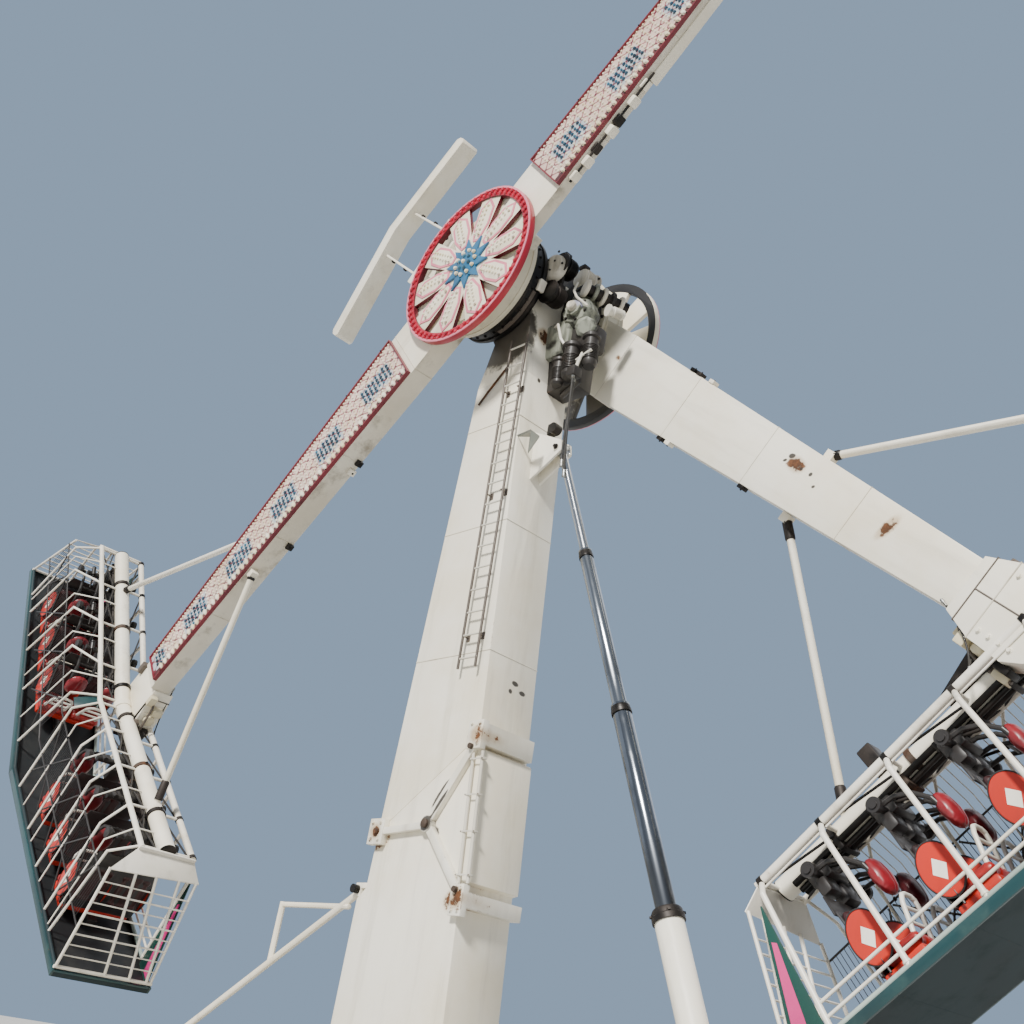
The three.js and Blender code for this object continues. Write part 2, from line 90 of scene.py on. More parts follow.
class Finish:
    """One node material on a Principled shader, whose fixed sockets are given by name."""

    def __init__(self, name, **fixed):
        self.material = bpy.data.materials.new(name)
        self.material.use_nodes = True
        self.tree = self.material.node_tree
        self.shader = self.tree.nodes["Principled BSDF"]
        for key, value in fixed.items():
            self.shader.inputs[key.replace("_", " ")].default_value = value
        self.here = self.node("ShaderNodeTexCoord", out="Object")

    def node(self, kind, options=None, sockets=(), out=0):
        made = self.tree.nodes.new(kind)
        for key, value in (options or {}).items():
            setattr(made, key, value)
        pairs = sockets.items() if isinstance(sockets, dict) else enumerate(sockets)
        for key, value in pairs:
            self.feed(made.inputs[key], value)
        return Value(self, made.outputs[out])

    def feed(self, socket, value):
        if isinstance(value, Value):
            self.tree.links.new(value.socket, socket)
        else:
            socket.default_value = value

    def lay(self, size=(1, 1, 1), turn=0.0, centre=(0, 0, 0)):
        """The place on the surface, measured from centre along axes turned about Y, in units of size."""
        return self.node("ShaderNodeMapping", {"vector_type": "TEXTURE"}, {
            "Vector": self.here, "Location": centre, "Rotation": (0, turn, 0), "Scale": size})

    def across(self, place):
        """The X and the Z of a place."""
        x = self.node("ShaderNodeSeparateXYZ", {}, (place,))
        return x, Value(self, x.socket.node.outputs["Z"])

    def noise(self, place, scale=1.0, detail=4.0, rough=0.55):
        return self.node("ShaderNodeTexNoise", {}, {
            "Vector": place, "Scale": scale, "Detail": detail, "Roughness": rough})

    def spots(self, places):
        """The sum of oval spots, each 1 at its centre and 0 at its size, given as (centre, size, turn)."""
        total = self.here * 0
        for centre, size, turn in places:
            far = self.node("ShaderNodeVectorMath", {"operation": "LENGTH"},
                            (self.lay(size, turn, centre),), out="Value")
            total = total + far.between(1.0, 0.2)
        return total

    def edges(self, radius):
        """1 along the hard edges of a piece, 0 elsewhere and for a radius of 0."""
        if not radius:
            return self.here * 0
        soft = self.node("ShaderNodeBevel", {"samples": 4}, {"Radius": radius})
        true = self.node("ShaderNodeNewGeometry", out="Normal")
        return self.node("ShaderNodeVectorMath", {"operation": "DOT_PRODUCT"},
                         (soft, true), out="Value").between(0.985, 0.86)

    def mix(self, share, first, second):
        return self.node("ShaderNodeMix", {"data_type": "RGBA"}, {0: share, 6: first, 7: second}, out=2)

    def paint(self, colour, rough, height, depth):
        """Ends the finish: what feeds the shader, with height as a bump of that depth in metres."""
        self.feed(self.shader.inputs["Base Color"], colour)
        self.feed(self.shader.inputs["Roughness"], rough)
        self.feed(self.shader.inputs["Normal"], self.node("ShaderNodeBump", {}, {
            "Height": height, "Distance": depth, "Strength": 0.7}))
        return self.material


def tint(code):
    """A colour from its six hex digits, as the shader wants it."""
    parts = [int(code[i:i + 2], 16) / 255 for i in (0, 2, 4)]
    return (*[p / 12.92 if p < 0.04 else ((p + 0.055) / 1.055) ** 2.4 for p in parts], 1)


slab = Finish("pale_floor")
cast, fine = slab.noise(slab.here, 0.15, 5), slab.noise(slab.here, 3.0, 6)
bm = bmesh.new()
bmesh.ops.create_grid(bm, x_segments=2, y_segments=2, size=90)
sheet = bpy.data.meshes.new("floor")
bm.to_mesh(sheet)
bm.free()
sheet.materials.append(slab.paint(
    slab.mix(cast * 0.5 + fine * 0.3, tint("c9c8c4"), tint("b4b3af")), 0.8, fine, 0.004))
floor = bpy.data.objects.new("floor", sheet)
floor.location = (0, 0, -0.002)
bpy.context.scene.collection.objects.link(floor)

for name, towards, power, spread, shade in (
        ("key", (-0.28, 0.72, -0.62), 6.4, 8, (1.0, 0.975, 0.93)),
        ("fill", (0.75, 0.35, -0.30), 0.35, 60, (0.86, 0.92, 1.0)),
        ("rear_fill", (0.2, -0.8, -0.45), 0.7, 60, (0.95, 0.97, 1.0))):
    lamp = bpy.data.lights.new(name, "SUN")
    lamp.energy, lamp.angle, lamp.color = power, math.radians(spread), shade
    sun = bpy.data.objects.new(name, lamp)
    sun.rotation_mode = "QUATERNION"
    sun.rotation_quaternion = Vector(towards).to_track_quat("-Z", "Y")
    bpy.context.scene.collection.objects.link(sun)

world = bpy.data.worlds.new("studio")
world.use_nodes = True
tree = world.node_tree
bpy.context.scene.world = world
soft, backdrop = tree.nodes["Background"], tree.nodes.new("ShaderNodeBackground")
soft.inputs["Color"].default_value = (0.80, 0.88, 1.0, 1)
soft.inputs["Strength"].default_value = 0.45
backdrop.inputs["Color"].default_value = tint("8fa5bf")
seen, ray = tree.nodes.new("ShaderNodeMixShader"), tree.nodes.new("ShaderNodeLightPath")
for source, target in ((ray.outputs["Is Camera Ray"], seen.inputs[0]), (soft.outputs[0], seen.inputs[1]),
                       (backdrop.outputs[0], seen.inputs[2]),
                       (seen.outputs[0], tree.nodes["World Output"].inputs["Surface"])):
    tree.links.new(source, target)


# Hoses and cables: two hydraulic hoses of braided rubber from the drive unit down to the lifting
# cylinder's rod, crimped into plated ferrules, and from each arm's end one rubber-sheathed cable for
# the gondola's lamps, which dips to the roof rail and is gripped by a tapered sleeve at both ends.
rubber = Finish("weathered_rubber", Coat_Weight=0.1)
dust, braid = rubber.noise(rubber.here, 3, 5).between(0.4, 0.7), rubber.noise(rubber.here, 90, 3)
black_rubber = rubber.paint(rubber.mix(dust * 0.6, tint("1c1b1a"), tint("4a443b")),
                            dust * 0.3 + braid * 0.1 + 0.45, braid, 0.001)
zinc = Finish("zinc_plate", Metallic=0.9)
spangle = zinc.noise(zinc.here, 30, 4)
zinc_plate = zinc.paint(zinc.mix(spangle.between(0.4, 0.7), tint("9a9c9a"), tint("6f6a5f")),
                        spangle * 0.3 + 0.25, spangle, 0.0005)


class Piece:
    """A named part in the making: shapes are added to it, and done() makes it an object on its body."""

    def __init__(self, name, *finishes):
        self.name, self.finishes, self.bm = name, finishes, bmesh.new()

    def add(self, shape, *places, finish=0):
        for face in shape.faces:
            face.material_index, face.smooth = finish, True
        return self.put(shape, *places)

    def put(self, shape, *places):
        drawn = bpy.data.meshes.new("shape")
        shape.to_mesh(drawn)
        shape.free()
        for place in places or (Matrix(),):
            copy = drawn.copy()
            copy.transform(place)
            if place.determinant() < 0:
                copy.flip_normals()
            self.bm.from_mesh(copy)
            bpy.data.meshes.remove(copy)
        bpy.data.meshes.remove(drawn)
        return self

    def done(self, body, *stands_for, slot=None, place=None):
        for line in self.bm.edges:
            line.smooth = len(line.link_faces) == 2 and line.calc_face_angle() < math.radians(35)
        drawn = bpy.data.meshes.new(self.name)
        self.bm.to_mesh(drawn)
        self.bm.free()
        if place is not None:
            drawn.transform(place)
        for finish in self.finishes:
            drawn.materials.append(finish)
        made = bpy.data.objects.new(self.name, drawn)
        bpy.context.scene.collection.objects.link(made)
        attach(made, body)
        if stands_for:
            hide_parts(*stands_for)
        return made


def stand(place, along):
    """Where a shape goes so that its Z axis runs along a direction."""
    return Matrix.Translation(place) @ Vector(along).to_track_quat("Z", "X").to_matrix().to_4x4()


def turned(profile, steps=24, ring=False):
    """A round part spun about Z from (radius, height) points; a ring's last point joins its first."""
    bm = bmesh.new()
    line = [bm.verts.new((r, 0, z)) for r, z in profile]
    edges = [bm.edges.new(pair) for pair in zip(line, line[1:] + line[:1] * ring)]
    bmesh.ops.spin(bm, geom=line + edges, cent=(0, 0, 0), axis=(0, 0, 1), angle=2 * math.pi,
                   steps=steps, use_merge=True)
    bmesh.ops.remove_doubles(bm, verts=bm.verts, dist=1e-5)
    bmesh.ops.recalc_face_normals(bm, faces=bm.faces)
    return bm


def hang(name, body, slot, diameter, start, leave, end, arrive, **nature):
    """A free hose or cable on a smooth line between two places, with a sleeve on each end."""
    runs = 26
    pulls = [Vector(start), Vector(start) + Vector(leave), Vector(end) - Vector(arrive), Vector(end)]
    line = [sum((p * math.comb(3, n) * (k / runs) ** n * (1 - k / runs) ** (3 - n)
                 for n, p in enumerate(pulls)), Vector()) for k in range(runs + 1)]
    core = bpy.data.curves.new(name, "CURVE")
    core.dimensions, core.use_fill_caps = "3D", True
    core.bevel_depth, core.bevel_resolution = diameter / 2, 3
    spline = core.splines.new("POLY")
    spline.points.add(runs)
    for point, place in zip(spline.points, line):
        point.co = (*place, 1)
    core.materials.append(black_rubber)
    made = bpy.data.objects.new(name, core)
    bpy.context.scene.collection.objects.link(made)
    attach(made, body)
    sleeves = Piece(name + "_sleeves", zinc_plate, black_rubber)
    ends = stand(line[0], line[1] - line[0]), stand(line[-1], line[-2] - line[-1])
    ferrule = ((0, -0.03), (1.7, -0.03), (1.7, 0.0), (1.35, 0.012), (1.35, 0.06), (1.02, 0.07), (0, 0.07))
    taper = ((0, 0.05), (1.3, 0.05), (1.02, 0.13), (0, 0.13))
    for finish, profile in enumerate((ferrule, taper)):
        sleeves.add(turned([(diameter / 2 * r, h) for r, h in profile], 12), *ends, finish=finish)
    long = sum((b - a).length for a, b in zip(line, line[1:]))
    sleeves.done(body, slot=slot)


for name, z, end in (("outer", 8.42, (1.385, -0.20, 9.80)), ("inner", 8.58, (1.335, -0.13, 9.80))):
    on_rod = (4.51 - (z - 1.02) * 0.4253, -0.078, z)
    hang(f"{name}_hydraulic_hose", "mast", "cylinder_rod", 0.032, on_rod, (0, -0.05, 0.36), end, (0, 0, 0.36),
         far_end="fitting", stiffness="stiff", lay="hanging")
axis_height = 11.5
arm_turns = {"front": math.radians(139.3), "rear": math.radians(39.8)}
arm_place = {side: Matrix.Translation((0, 0, axis_height)) @ Matrix.Rotation(turn, 4, "Y")
             for side, turn in arm_turns.items()}
arm_place["rear"] = arm_place["rear"] @ Matrix.Rotation(math.pi, 4, "X")
for side, place in arm_place.items():
    hang(f"{side}_lamp_cable", side + "_arm", side + "_end_box", 0.020,
         place @ Vector((7.80, -0.745, 0.255)), place.to_3x3() @ Vector((0.22, 0.02, 0.05)),
         place @ Vector((8.46, -0.73, 0.665)), place.to_3x3() @ Vector((0.10, 0, 0.20)),
         far_end="object", stiffness="medium", lay="hanging")


# Base: a welded frame of box beams on screw jacks, with an outrigger beam under each end, caked
# with road dirt. The jacks' screws stand in collars, and bolts hold beam to beam at each crossing.
def weathered(name, turn=0.0, grain=(0.3, 0.3, 3.0), dirt=0.5, rust=0.5, edge=0.02, marks=(), grease_and_shadow=(),
              tones="f4efe0 e4d8bd", gloss=0.36):
    """Old gloss paint: aged in clouds, grimed along the grain, rusted at edges and marks, and blackened
    in spots that are grease stains and, where callers put them in the shade of other parts, painted
    shadow; tones are the colours of paint, aged paint and, if another than brown, grime."""
    paint, aged, grime = (tones.split() + ["7d7058"])[:3]
    f = Finish(name, Coat_Weight=0.15, Coat_Roughness=0.25)
    clouds = f.noise(f.here, 0.5, 5, 0.6).between(0.38, 0.68)
    runs = f.noise(f.lay(grain, turn), 1.0, 7, 0.65).between(0.50, 0.78)
    speck = f.noise(f.here, 9.0, 8, 0.7)
    patch = f.noise(f.here, 0.9, 4, 0.6)
    wear_and_highlight, marked = f.edges(edge), f.spots(marks)
    rusty = (speck * 0.55 + patch * 0.45 + wear_and_highlight * 0.09 + marked * 0.22).between(0.655, 0.70)
    rusty = rusty * (marked * 0.6 + rust)
    stain = (patch * 0.6 + speck * 0.25 + marked * 0.4 + wear_and_highlight * 0.1).between(0.52, 0.75)
    colour = f.mix(clouds * 0.75, tint(paint), tint(aged))
    colour = f.mix(runs * dirt, colour, tint(grime))
    colour = f.mix(stain * (marked * 0.35 + 0.45 * rust), colour, tint("a5814f"))
    colour = f.mix(rusty, colour, f.mix(speck.between(0.35, 0.7), tint("35200f"), tint("6f4526")))
    rough = runs * (dirt * 0.25) + rusty * 0.45 + clouds * 0.08 + gloss
    # Black spots: grease stains, and painted shadow where a caller places them in the shade of other parts.
    if grease_and_shadow:
        black = (f.spots(grease_and_shadow) * 0.9 + speck * 0.9).between(0.80, 1.10) * 0.95
        colour = f.mix(black, colour, f.mix(speck, tint("14110f"), tint("3d352c")))
    return f.paint(colour, rough, speck * 0.35 + clouds * 0.5 - rusty * 0.6, 0.003)


def rounded(bm, width, limit=35):
    """Rounds the hard edges of a shape, as on welded or cast metal."""
    hard = [line for line in bm.edges
            if len(line.link_faces) == 2 and line.calc_face_angle() > math.radians(limit)]
    if width and hard:
        bmesh.ops.bevel(bm, geom=hard, offset=width, offset_type="OFFSET", segments=2, profile=0.5,
                        affect="EDGES", clamp_overlap=True, material=-1)
    return bm


def shell(node, width=0.008):
    """A CAD solid with its triangles merged and its hard edges rounded."""
    bm = bmesh.new()
    bm.from_mesh(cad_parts[node].data)
    bmesh.ops.remove_doubles(bm, verts=bm.verts, dist=1e-4)
    bmesh.ops.dissolve_limit(bm, angle_limit=math.radians(0.6), verts=bm.verts, edges=bm.edges)
    return rounded(bm, width)


def block(low, high, rounding=0.004):
    """A plate or block between two corners."""
    low, high = Vector(low), Vector(high)
    bm = bmesh.new()
    bmesh.ops.create_cube(bm, size=1, matrix=Matrix.Translation((low + high) / 2)
                          @ Matrix.Diagonal((*(high - low), 1)))
    return rounded(bm, rounding)


def extruded(corners, across):
    """A flat face from its corners grown along a vector; gives the shape and its far face."""
    bm = bmesh.new()
    face = bm.faces.new([bm.verts.new(corner) for corner in corners])
    grown = bmesh.ops.extrude_face_region(bm, geom=[face])["geom"]
    far = next(part for part in grown if isinstance(part, bmesh.types.BMFace))
    bmesh.ops.translate(bm, vec=across, verts=far.verts)
    bmesh.ops.recalc_face_normals(bm, faces=bm.faces)
    return bm, far


def plate(corners, across, rounding=0.003):
    """A flat plate from the corners of one face and its thickness as a vector."""
    return rounded(extruded(corners, across)[0], rounding)


def pin(radius, height, steps=16):
    """A plain round pin, plug or hub from 0 up to a height."""
    return turned([(0, 0), (radius, 0), (radius, height), (0, height)], steps)


def tube(points, radius, sides=10):
    """A round tube along a run of points, mitred where it turns and closed at its ends."""
    points = [Vector(p) for p in points]
    bm = bmesh.new()
    bmesh.ops.create_circle(bm, cap_ends=True, segments=sides, radius=radius,
                            matrix=stand(points[0], points[1] - points[0]))
    cap = next(iter(bm.faces))
    for before, here, after in zip(points, points[1:], points[2:] + [None]):
        run = (here - before).normalized()
        mitre = run if after is None else (run + (after - here).normalized()).normalized()
        grown = bmesh.ops.extrude_face_region(bm, geom=[cap])["geom"]
        cap = next(e for e in grown if isinstance(e, bmesh.types.BMFace))
        for corner in cap.verts:
            corner.co += run * ((here - corner.co).dot(mitre) / run.dot(mitre))
    bmesh.ops.recalc_face_normals(bm, faces=bm.faces)
    return bm


def bolt(across):
    """A hexagon head on its washer, standing on the plane Z = 0."""
    bm = bmesh.new()
    for sides, foot, head, low, high in ((12, 0.78, 0.72, 0, 0.14), (6, 0.56, 0.48, 0.14, 0.66)):
        bmesh.ops.create_cone(bm, cap_ends=True, segments=sides, radius1=across * foot,
                              radius2=across * head, depth=across * (high - low),
                              matrix=Matrix.Translation((0, 0, across * (high + low) / 2)))
    return bm


def around(radius, angles):
    """Points on a circle at some angles, or at that many even steps."""
    if isinstance(angles, int):
        angles = [2 * math.pi * k / angles for k in range(angles)]
    return [(radius * math.cos(a), radius * math.sin(a)) for a in angles]


base_white = weathered("base_white", grain=(0.5, 0.5, 0.5), dirt=0.75, rust=0.9, tones="cfcabb b5ad99")
greased = Finish("greased_steel", Metallic=0.6)
grain, smear = greased.noise(greased.here, 14, 6), greased.noise(greased.here, 2.2, 4).between(0.4, 0.65)
greased_steel = greased.paint(greased.mix(smear, tint("1b1a19"), tint("3a3430")),
                              smear * 0.25 + grain * 0.2 + 0.25, grain, 0.002)
beam_top, jack_pad = 0.75, 0.06
base = Piece("base_frame_beams", base_white, greased_steel).add(shell("base_frame"))
for x in (-5.05, -3.6, -1.5, 2.6, 4.51, 5.25):
    for y in (-0.55, 0.55):
        base.add(bolt(0.045), *[Matrix.Translation((x + i * 0.1, y + j * 0.07, beam_top))
                                for i in (-1, 1) for j in (-1, 1)], finish=1)
for y in (-0.225, 0.225):
    base.add(turned([(0, 0), (0.085, 0), (0.085, 0.03), (0.07, 0.04), (0, 0.04)], 20),
             stand((4.51, y, 1.02), (0, y, 0)), finish=1)
base.done("mast", "base_frame")
thread = [(0.0, 0)]
for k in range(7):
    thread += [(0.082, k * 0.02), (0.088, k * 0.02 + 0.01)]
thread.append((0, 0.14))
for name, x in (("left_outrigger", -4.6), ("right_outrigger", 3.5)):
    arm = Piece(name + "_beam", base_white, greased_steel).add(shell(name))
    for y in (-2.7, 2.7):
        arm.add(turned([(0.08, 0), (0.125, 0), (0.125, 0.035), (0.1, 0.06), (0.08, 0.06)], 20, ring=True),
                Matrix.Translation((x, y, 0.40)))
        arm.add(turned(thread, 16), Matrix.Translation((x, y, 0.462)), finish=1)
        arm.add(turned([(0.1, 0), (0.15, 0), (0.13, 0.05), (0.1, 0.07)], 20, ring=True),
                Matrix.Translation((x, y, jack_pad)), finish=1)
        arm.add(bolt(0.03), *[Matrix.Translation((x + i, y + j, jack_pad))
                              for i, j in around(0.24, (0.8, 2.4, 3.9, 5.5))], finish=1)
    arm.done("mast", name)
stay = Piece("back_stay_tubes", weathered("stay_white", dirt=0.4, rust=0.8, edge=0), greased_steel)
stay.add(shell("back_stay", 0.004))
stay.add(turned([(0, -0.13), (0.05, -0.13), (0.05, 0.13), (0, 0.13)], 16),
         stand((-0.70, -0.3, 3.405), (0, 1, 0)), finish=1)
stay.done("mast", "back_stay")


# Mast: a tapering box of welded plate in two lengths. The seams between its plates are ground weld
# beads, the head is black with the slewing rings' grease and with painted shadow under the front
# drum, and old rust and scuffs mark its sides.
mast_marks = [((0.96, -0.39, 9.70), (0.10, 0.2, 0.12), 0.6), ((1.00, -0.39, 10.35), (0.12, 0.3, 0.30), 0.0),
              ((1.06, -0.15, 3.9), (0.10, 0.30, 0.75), 0.0), ((1.02, 0.1, 4.55), (0.10, 0.34, 0.55), 0.0),
              ((1.01, -0.39, 3.30), (0.25, 0.3, 0.20), 0.0), ((-0.45, -0.39, 4.0), (0.3, 0.3, 0.25), 0.0),
              ((1.40, -0.39, 2.5), (0.2, 0.3, 0.3), 0.0), ((0.60, -0.12, 10.72), (0.14, 0.20, 0.24), 0),
              ((0.68, 0.30, 10.0), (0.1, 0.12, 0.12), 0)]
# Of these black spots the first and third paint the front drum's shadow on the head, and the last a shadow line
# beside the upper link; the others are grease stains.
mast_grease_and_shadow = [((0.22, -0.39, 10.66), (1.05, 0.30, 0.80), 0), ((0.69, -0.14, 9.97), (0.1, 0.05, 0.06), 0),
               ((-0.35, -0.2, 10.6), (0.5, 0.5, 0.4), 0), ((0.50, -0.39, 4.02), (0.17, 0.1, 0.13), 0.5),
               ((0.95, 0.06, 5.83), (0.1, 0.10, 0.055), 0), ((0.94, 0.19, 5.75), (0.1, 0.08, 0.05), 0),
               ((0.96, 0.0, 5.72), (0.1, 0.05, 0.05), 0), ((0.50, -0.39, 4.45), (0.05, 0.1, 0.32), 0.62)]
mast_white = weathered("mast_white", grain=(0.22, 0.22, 2.6), dirt=0.24, rust=0.6, marks=mast_marks,
                       grease_and_shadow=mast_grease_and_shadow)
weld_tone = weathered("weld_bead", dirt=0.6, rust=0.9, edge=0, tones="d8d2c2 b9ab90")
mast_face = -0.39
left_edge = lambda z: -0.665 + (z - 0.75) * 0.0098 if z < 3.3 else -0.283 - (8.764 - z) * 0.0423
right_edge = lambda z: 0.830 + (7.600 - z) * 0.061
for name, node, rounding, levels in (("lower_mast_box", "lower_mast", 0.012, (1.9,)),
                                     ("upper_mast_box", "upper_mast", 0.010, (6.1, 7.8, 9.3))):
    length = Piece(name, mast_white, weld_tone).add(shell(node, rounding))
    for z in levels:
        x0, x1, y = left_edge(z), right_edge(z), mast_face
        length.add(tube([(x0, y, z), (x1, y, z), (x1, -y, z), (x0, -y, z), (x0, y, z)], 0.006, 6), finish=1)
    length.done("mast", node)
Piece("mast_head_casting", mast_white).add(shell("mast_head", 0.010)).done("mast", "mast_head")


# Mast fittings: twin conduits in saddles up the lower length, a steel ladder of brown rails and pale
# rungs on stand-offs, the links that join the two lengths, and the bracket beside the cylinder's pin.
rusty = Finish("rusted_steel", Metallic=0.3)
pits, bloom = rusty.noise(rusty.here, 16, 8, 0.7), rusty.noise(rusty.here, 3.5, 5).between(0.42, 0.62)
scale = rusty.mix(pits.between(0.4, 0.7), tint("3b2416"), tint("7c4c28"))
rusted_steel = rusty.paint(rusty.mix(bloom, tint("4a3e35"), scale), pits * 0.2 + 0.6, pits, 0.003)
conduit_grey = weathered("conduit_grey", dirt=0.5, rust=0.8, edge=0, tones="d9d5c8 c0b8a6")
conduits = Piece("mast_conduits", conduit_grey, rusted_steel)
for x0, x1 in ((1.13, 1.23), (0.98, 1.09)):
    conduits.add(tube([(x0, -0.425, 4.88), (x1, -0.425, 3.47)], 0.020, 12))
for k in (0.06, 0.34, 0.62, 0.94):
    x, z = 1.055 + 0.1 * k, 4.88 - 1.41 * k
    conduits.add(block((x - 0.105, -0.454, z - 0.009), (x + 0.105, -0.450, z + 0.009), 0.001))
    for dx in (-0.10, 0.10):
        conduits.add(block((x + dx - 0.010, -0.452, z - 0.009), (x + dx + 0.010, mast_face, z + 0.009), 0.001))
        conduits.add(bolt(0.012), stand((x + dx, -0.452, z), (0, -1, 0)), finish=1)
conduits.add(tube([(0.33, -0.41, 10.16), (0.02, -0.412, 9.86), (-0.13, -0.412, 9.70)], 0.015, 10), finish=1)
conduits.done("mast", slot="lower_mast")

ladder_brown = weathered("ladder_brown", dirt=0.5, rust=0.5, edge=0, tones="5d534a 473f38 2a2420", gloss=0.5)
ladder = Piece("mast_ladder", ladder_brown, conduit_grey)
ladder_y, low, high = -0.48, 5.88, 10.49
rail_x = lambda z: 0.662 - (z - 5.88) * 0.0226
for dx in (-0.148, 0.148):
    ladder.add(tube([(rail_x(low) + dx, ladder_y, low), (rail_x(high) + dx, ladder_y, high)], 0.017, 12))
for k in range(16):
    z = 6.0 + 0.29 * k
    ladder.add(tube([(rail_x(z) - 0.162, ladder_y, z), (rail_x(z) + 0.162, ladder_y, z)], 0.0125, 10), finish=1)
for z in (6.29, 8.185, 9.7):
    for dx in (-0.148, 0.106):
        x = rail_x(z) + dx
        ladder.add(block((x - 0.03, -0.397, z - 0.045), (x + 0.03, -0.3895, z + 0.045), 0.002))
        ladder.add(tube([(x, mast_face, z), (x, ladder_y, z)] + [(x + 0.042, ladder_y, z)] * (dx > 0), 0.011, 8))
        ladder.add(bolt(0.02), *[stand((x, -0.397, z + k), (0, -1, 0)) for k in (-0.032, 0.032)])
ladder.done("mast", "ladder")

link_marks = [((1.02, -0.4, 5.06), (0.22, 0.6, 0.2), 0), ((1.13, -0.4, 3.31), (0.2, 0.6, 0.2), 0),
              ((-0.45, -0.4, 4.04), (0.16, 0.3, 0.16), 0)]
# The first black spot is a grease stain round the pivot, the second a painted shadow line beside the upper link.
link_grease_and_shadow = [((0.43, -0.45, 4.10), (0.16, 0.3, 0.15), 0), ((0.60, -0.45, 4.33), (0.04, 0.3, 0.30), 0.62)]
links = Piece("mast_joint_links", weathered("link_white", dirt=0.4, rust=0.8, tones="eeeade d8cfb8",
                                            edge=0.03, marks=link_marks, grease_and_shadow=link_grease_and_shadow), rusted_steel)
links.add(shell("joint_links", 0.008))
links.add(turned([(0, 0), (0.05, 0), (0.05, 0.03), (0.035, 0.04), (0, 0.04)], 20),
          stand((0.43, -0.471, 4.10), (0, -1, 0)), finish=1)
for xs, zs in (((0.93, 1.06), (4.96, 5.19)), ((1.09, 1.19), (3.19, 3.41)), ((-0.50, -0.36), (3.94, 4.13))):
    links.add(bolt(0.030), *[stand((x, -0.4715, z), (0, -1, 0)) for z in zs for x in xs])
for x, z in ((0.98, 4.93), (1.115, 3.40), (-0.40, 4.035)):
    links.add(pin(0.032, 0.04), stand((x, -0.47, z), (0, -1, 0)), finish=1)
for z, start in ((5.08, 0.92), (3.31, 1.04)):
    reach = right_edge(z)
    for dz in (-0.085, 0.085):
        links.add(tube([(start, -0.405, z + dz), (reach + 0.01, -0.405, z + dz)], 0.013, 8), finish=1)
    links.add(block((reach - 0.10, -0.43, z - 0.10), (reach + 0.012, -0.3895, z + 0.10), 0.008))
    links.add(bolt(0.034), *[stand((reach - 0.045, -0.43, z + dz), (0, -1, 0)) for dz in (-0.06, 0.06)],
              finish=1)
links.done("mast", "joint_links")

# The bracket plate's grey is painted shade, for the shadowed underside of the plate.
bracket_shade_grey = weathered("bracket_shade_grey", dirt=0.5, rust=0.5, tones="80837a 65675f")
brace, reach = Piece("mast_cylinder_bracket", bracket_shade_grey, greased_steel), right_edge(8.9)
brace.add(plate([(1.065, -0.47, 8.95), (reach - 0.02, -0.395, 9.0), (reach + 0.30, -0.30, 8.95),
                 (1.08, -0.47, 8.62)], (0, 0.012, -0.02), 0.002))
brace.add(block((0.93, -0.08, 9.10), (1.06, 0.02, 9.26), 0.015), finish=1)
brace.add(pin(0.07, 0.12, 20), stand((1.06, -0.12, 9.16), (0, 1, 0)), finish=1)
brace.add(bolt(0.05), stand((1.18, -0.115, 8.85), (0, -1, 0)), stand((1.18, 0.115, 8.85), (0, 1, 0)), finish=1)
brace.done("mast", slot="upper_mast")


# Head: two slewing rings bolted to the mast head, black with grease, and the drives between them:
# finned motors on gearboxes, a stack of brake discs, a gear case and pipes under years of oil.
black_grease = Finish("black_grease", Metallic=0.5)
cake = black_grease.noise(black_grease.here, 5, 6, 0.65)
black_steel = black_grease.paint(black_grease.mix(cake.between(0.5, 0.75), tint("0d0d0e"), tint("3b352e")),
                                 cake * 0.35 + 0.15, cake, 0.006)


def swept(corners, axis, angle, steps):
    """A face from its corners, swept through part of a turn."""
    bm = bmesh.new()
    face = bm.faces.new([bm.verts.new(corner) for corner in corners])
    bmesh.ops.spin(bm, geom=[face], cent=(0, 0, 0), axis=axis, angle=angle, steps=steps)
    bmesh.ops.recalc_face_normals(bm, faces=bm.faces)
    return bm


hub_point = Matrix.Translation((0, 0, axis_height))
for side, sign in (("front", -1), ("rear", 1)):
    ring = Piece(side + "_slewing_race", black_steel, greased_steel, mast_white, ladder_brown)
    ring.add(shell(side + "_slewing_ring", 0.012))
    for low in (0.44, 0.62):
        ring.add(turned([(0.80, 0), (0.822, 0.006), (0.822, 0.05), (0.80, 0.056)], 48, ring=True),
                 stand((0, sign * low, axis_height), (0, sign, 0)), finish=1)
    ring.add(bolt(0.034), *[stand((x, sign * 0.56, axis_height + z), (x, 0, z)) for x, z in around(0.80, 30)],
             finish=1)
    place = hub_point @ Matrix.Rotation(0.30, 4, "Y")
    ring.add(block((0.785, -0.06, -0.085), (0.845, 0.06, 0.085), 0.015),
             place @ Matrix.Translation((0, sign * 0.46, 0)), finish=2)
    # The lighter brown strip swept round part of each race is a painted highlight on the black ring.
    wear_and_highlight = [(0.79, -0.03, 0), (0.812, -0.03, 0), (0.812, 0.03, 0), (0.79, 0.03, 0)]
    ring.add(swept(wear_and_highlight, (0, 1, 0), 0.95, 18),
             place @ Matrix.Rotation(0.14, 4, "Y") @ Matrix.Translation((0, sign * 0.52, 0)), finish=3)
    ring.done("mast", side + "_slewing_ring")

machine = Finish("oily_machine_grey", Coat_Weight=0.2)
oil = machine.noise(machine.here, 4.5, 6, 0.6)
drip = machine.noise(machine.lay((0.05, 0.05, 0.4)), 1, 5).between(0.45, 0.7)
machine_grey = machine.paint(
    machine.mix(oil.between(0.46, 0.70), machine.mix(drip, tint("8b8e80"), tint("5f6156")), tint("1b1a17")),
    oil * 0.4 + 0.25, oil, 0.003)
cast_white = weathered("motor_white", dirt=0.8, rust=0.9, tones="dcd6c6 b3a891 4a4136")


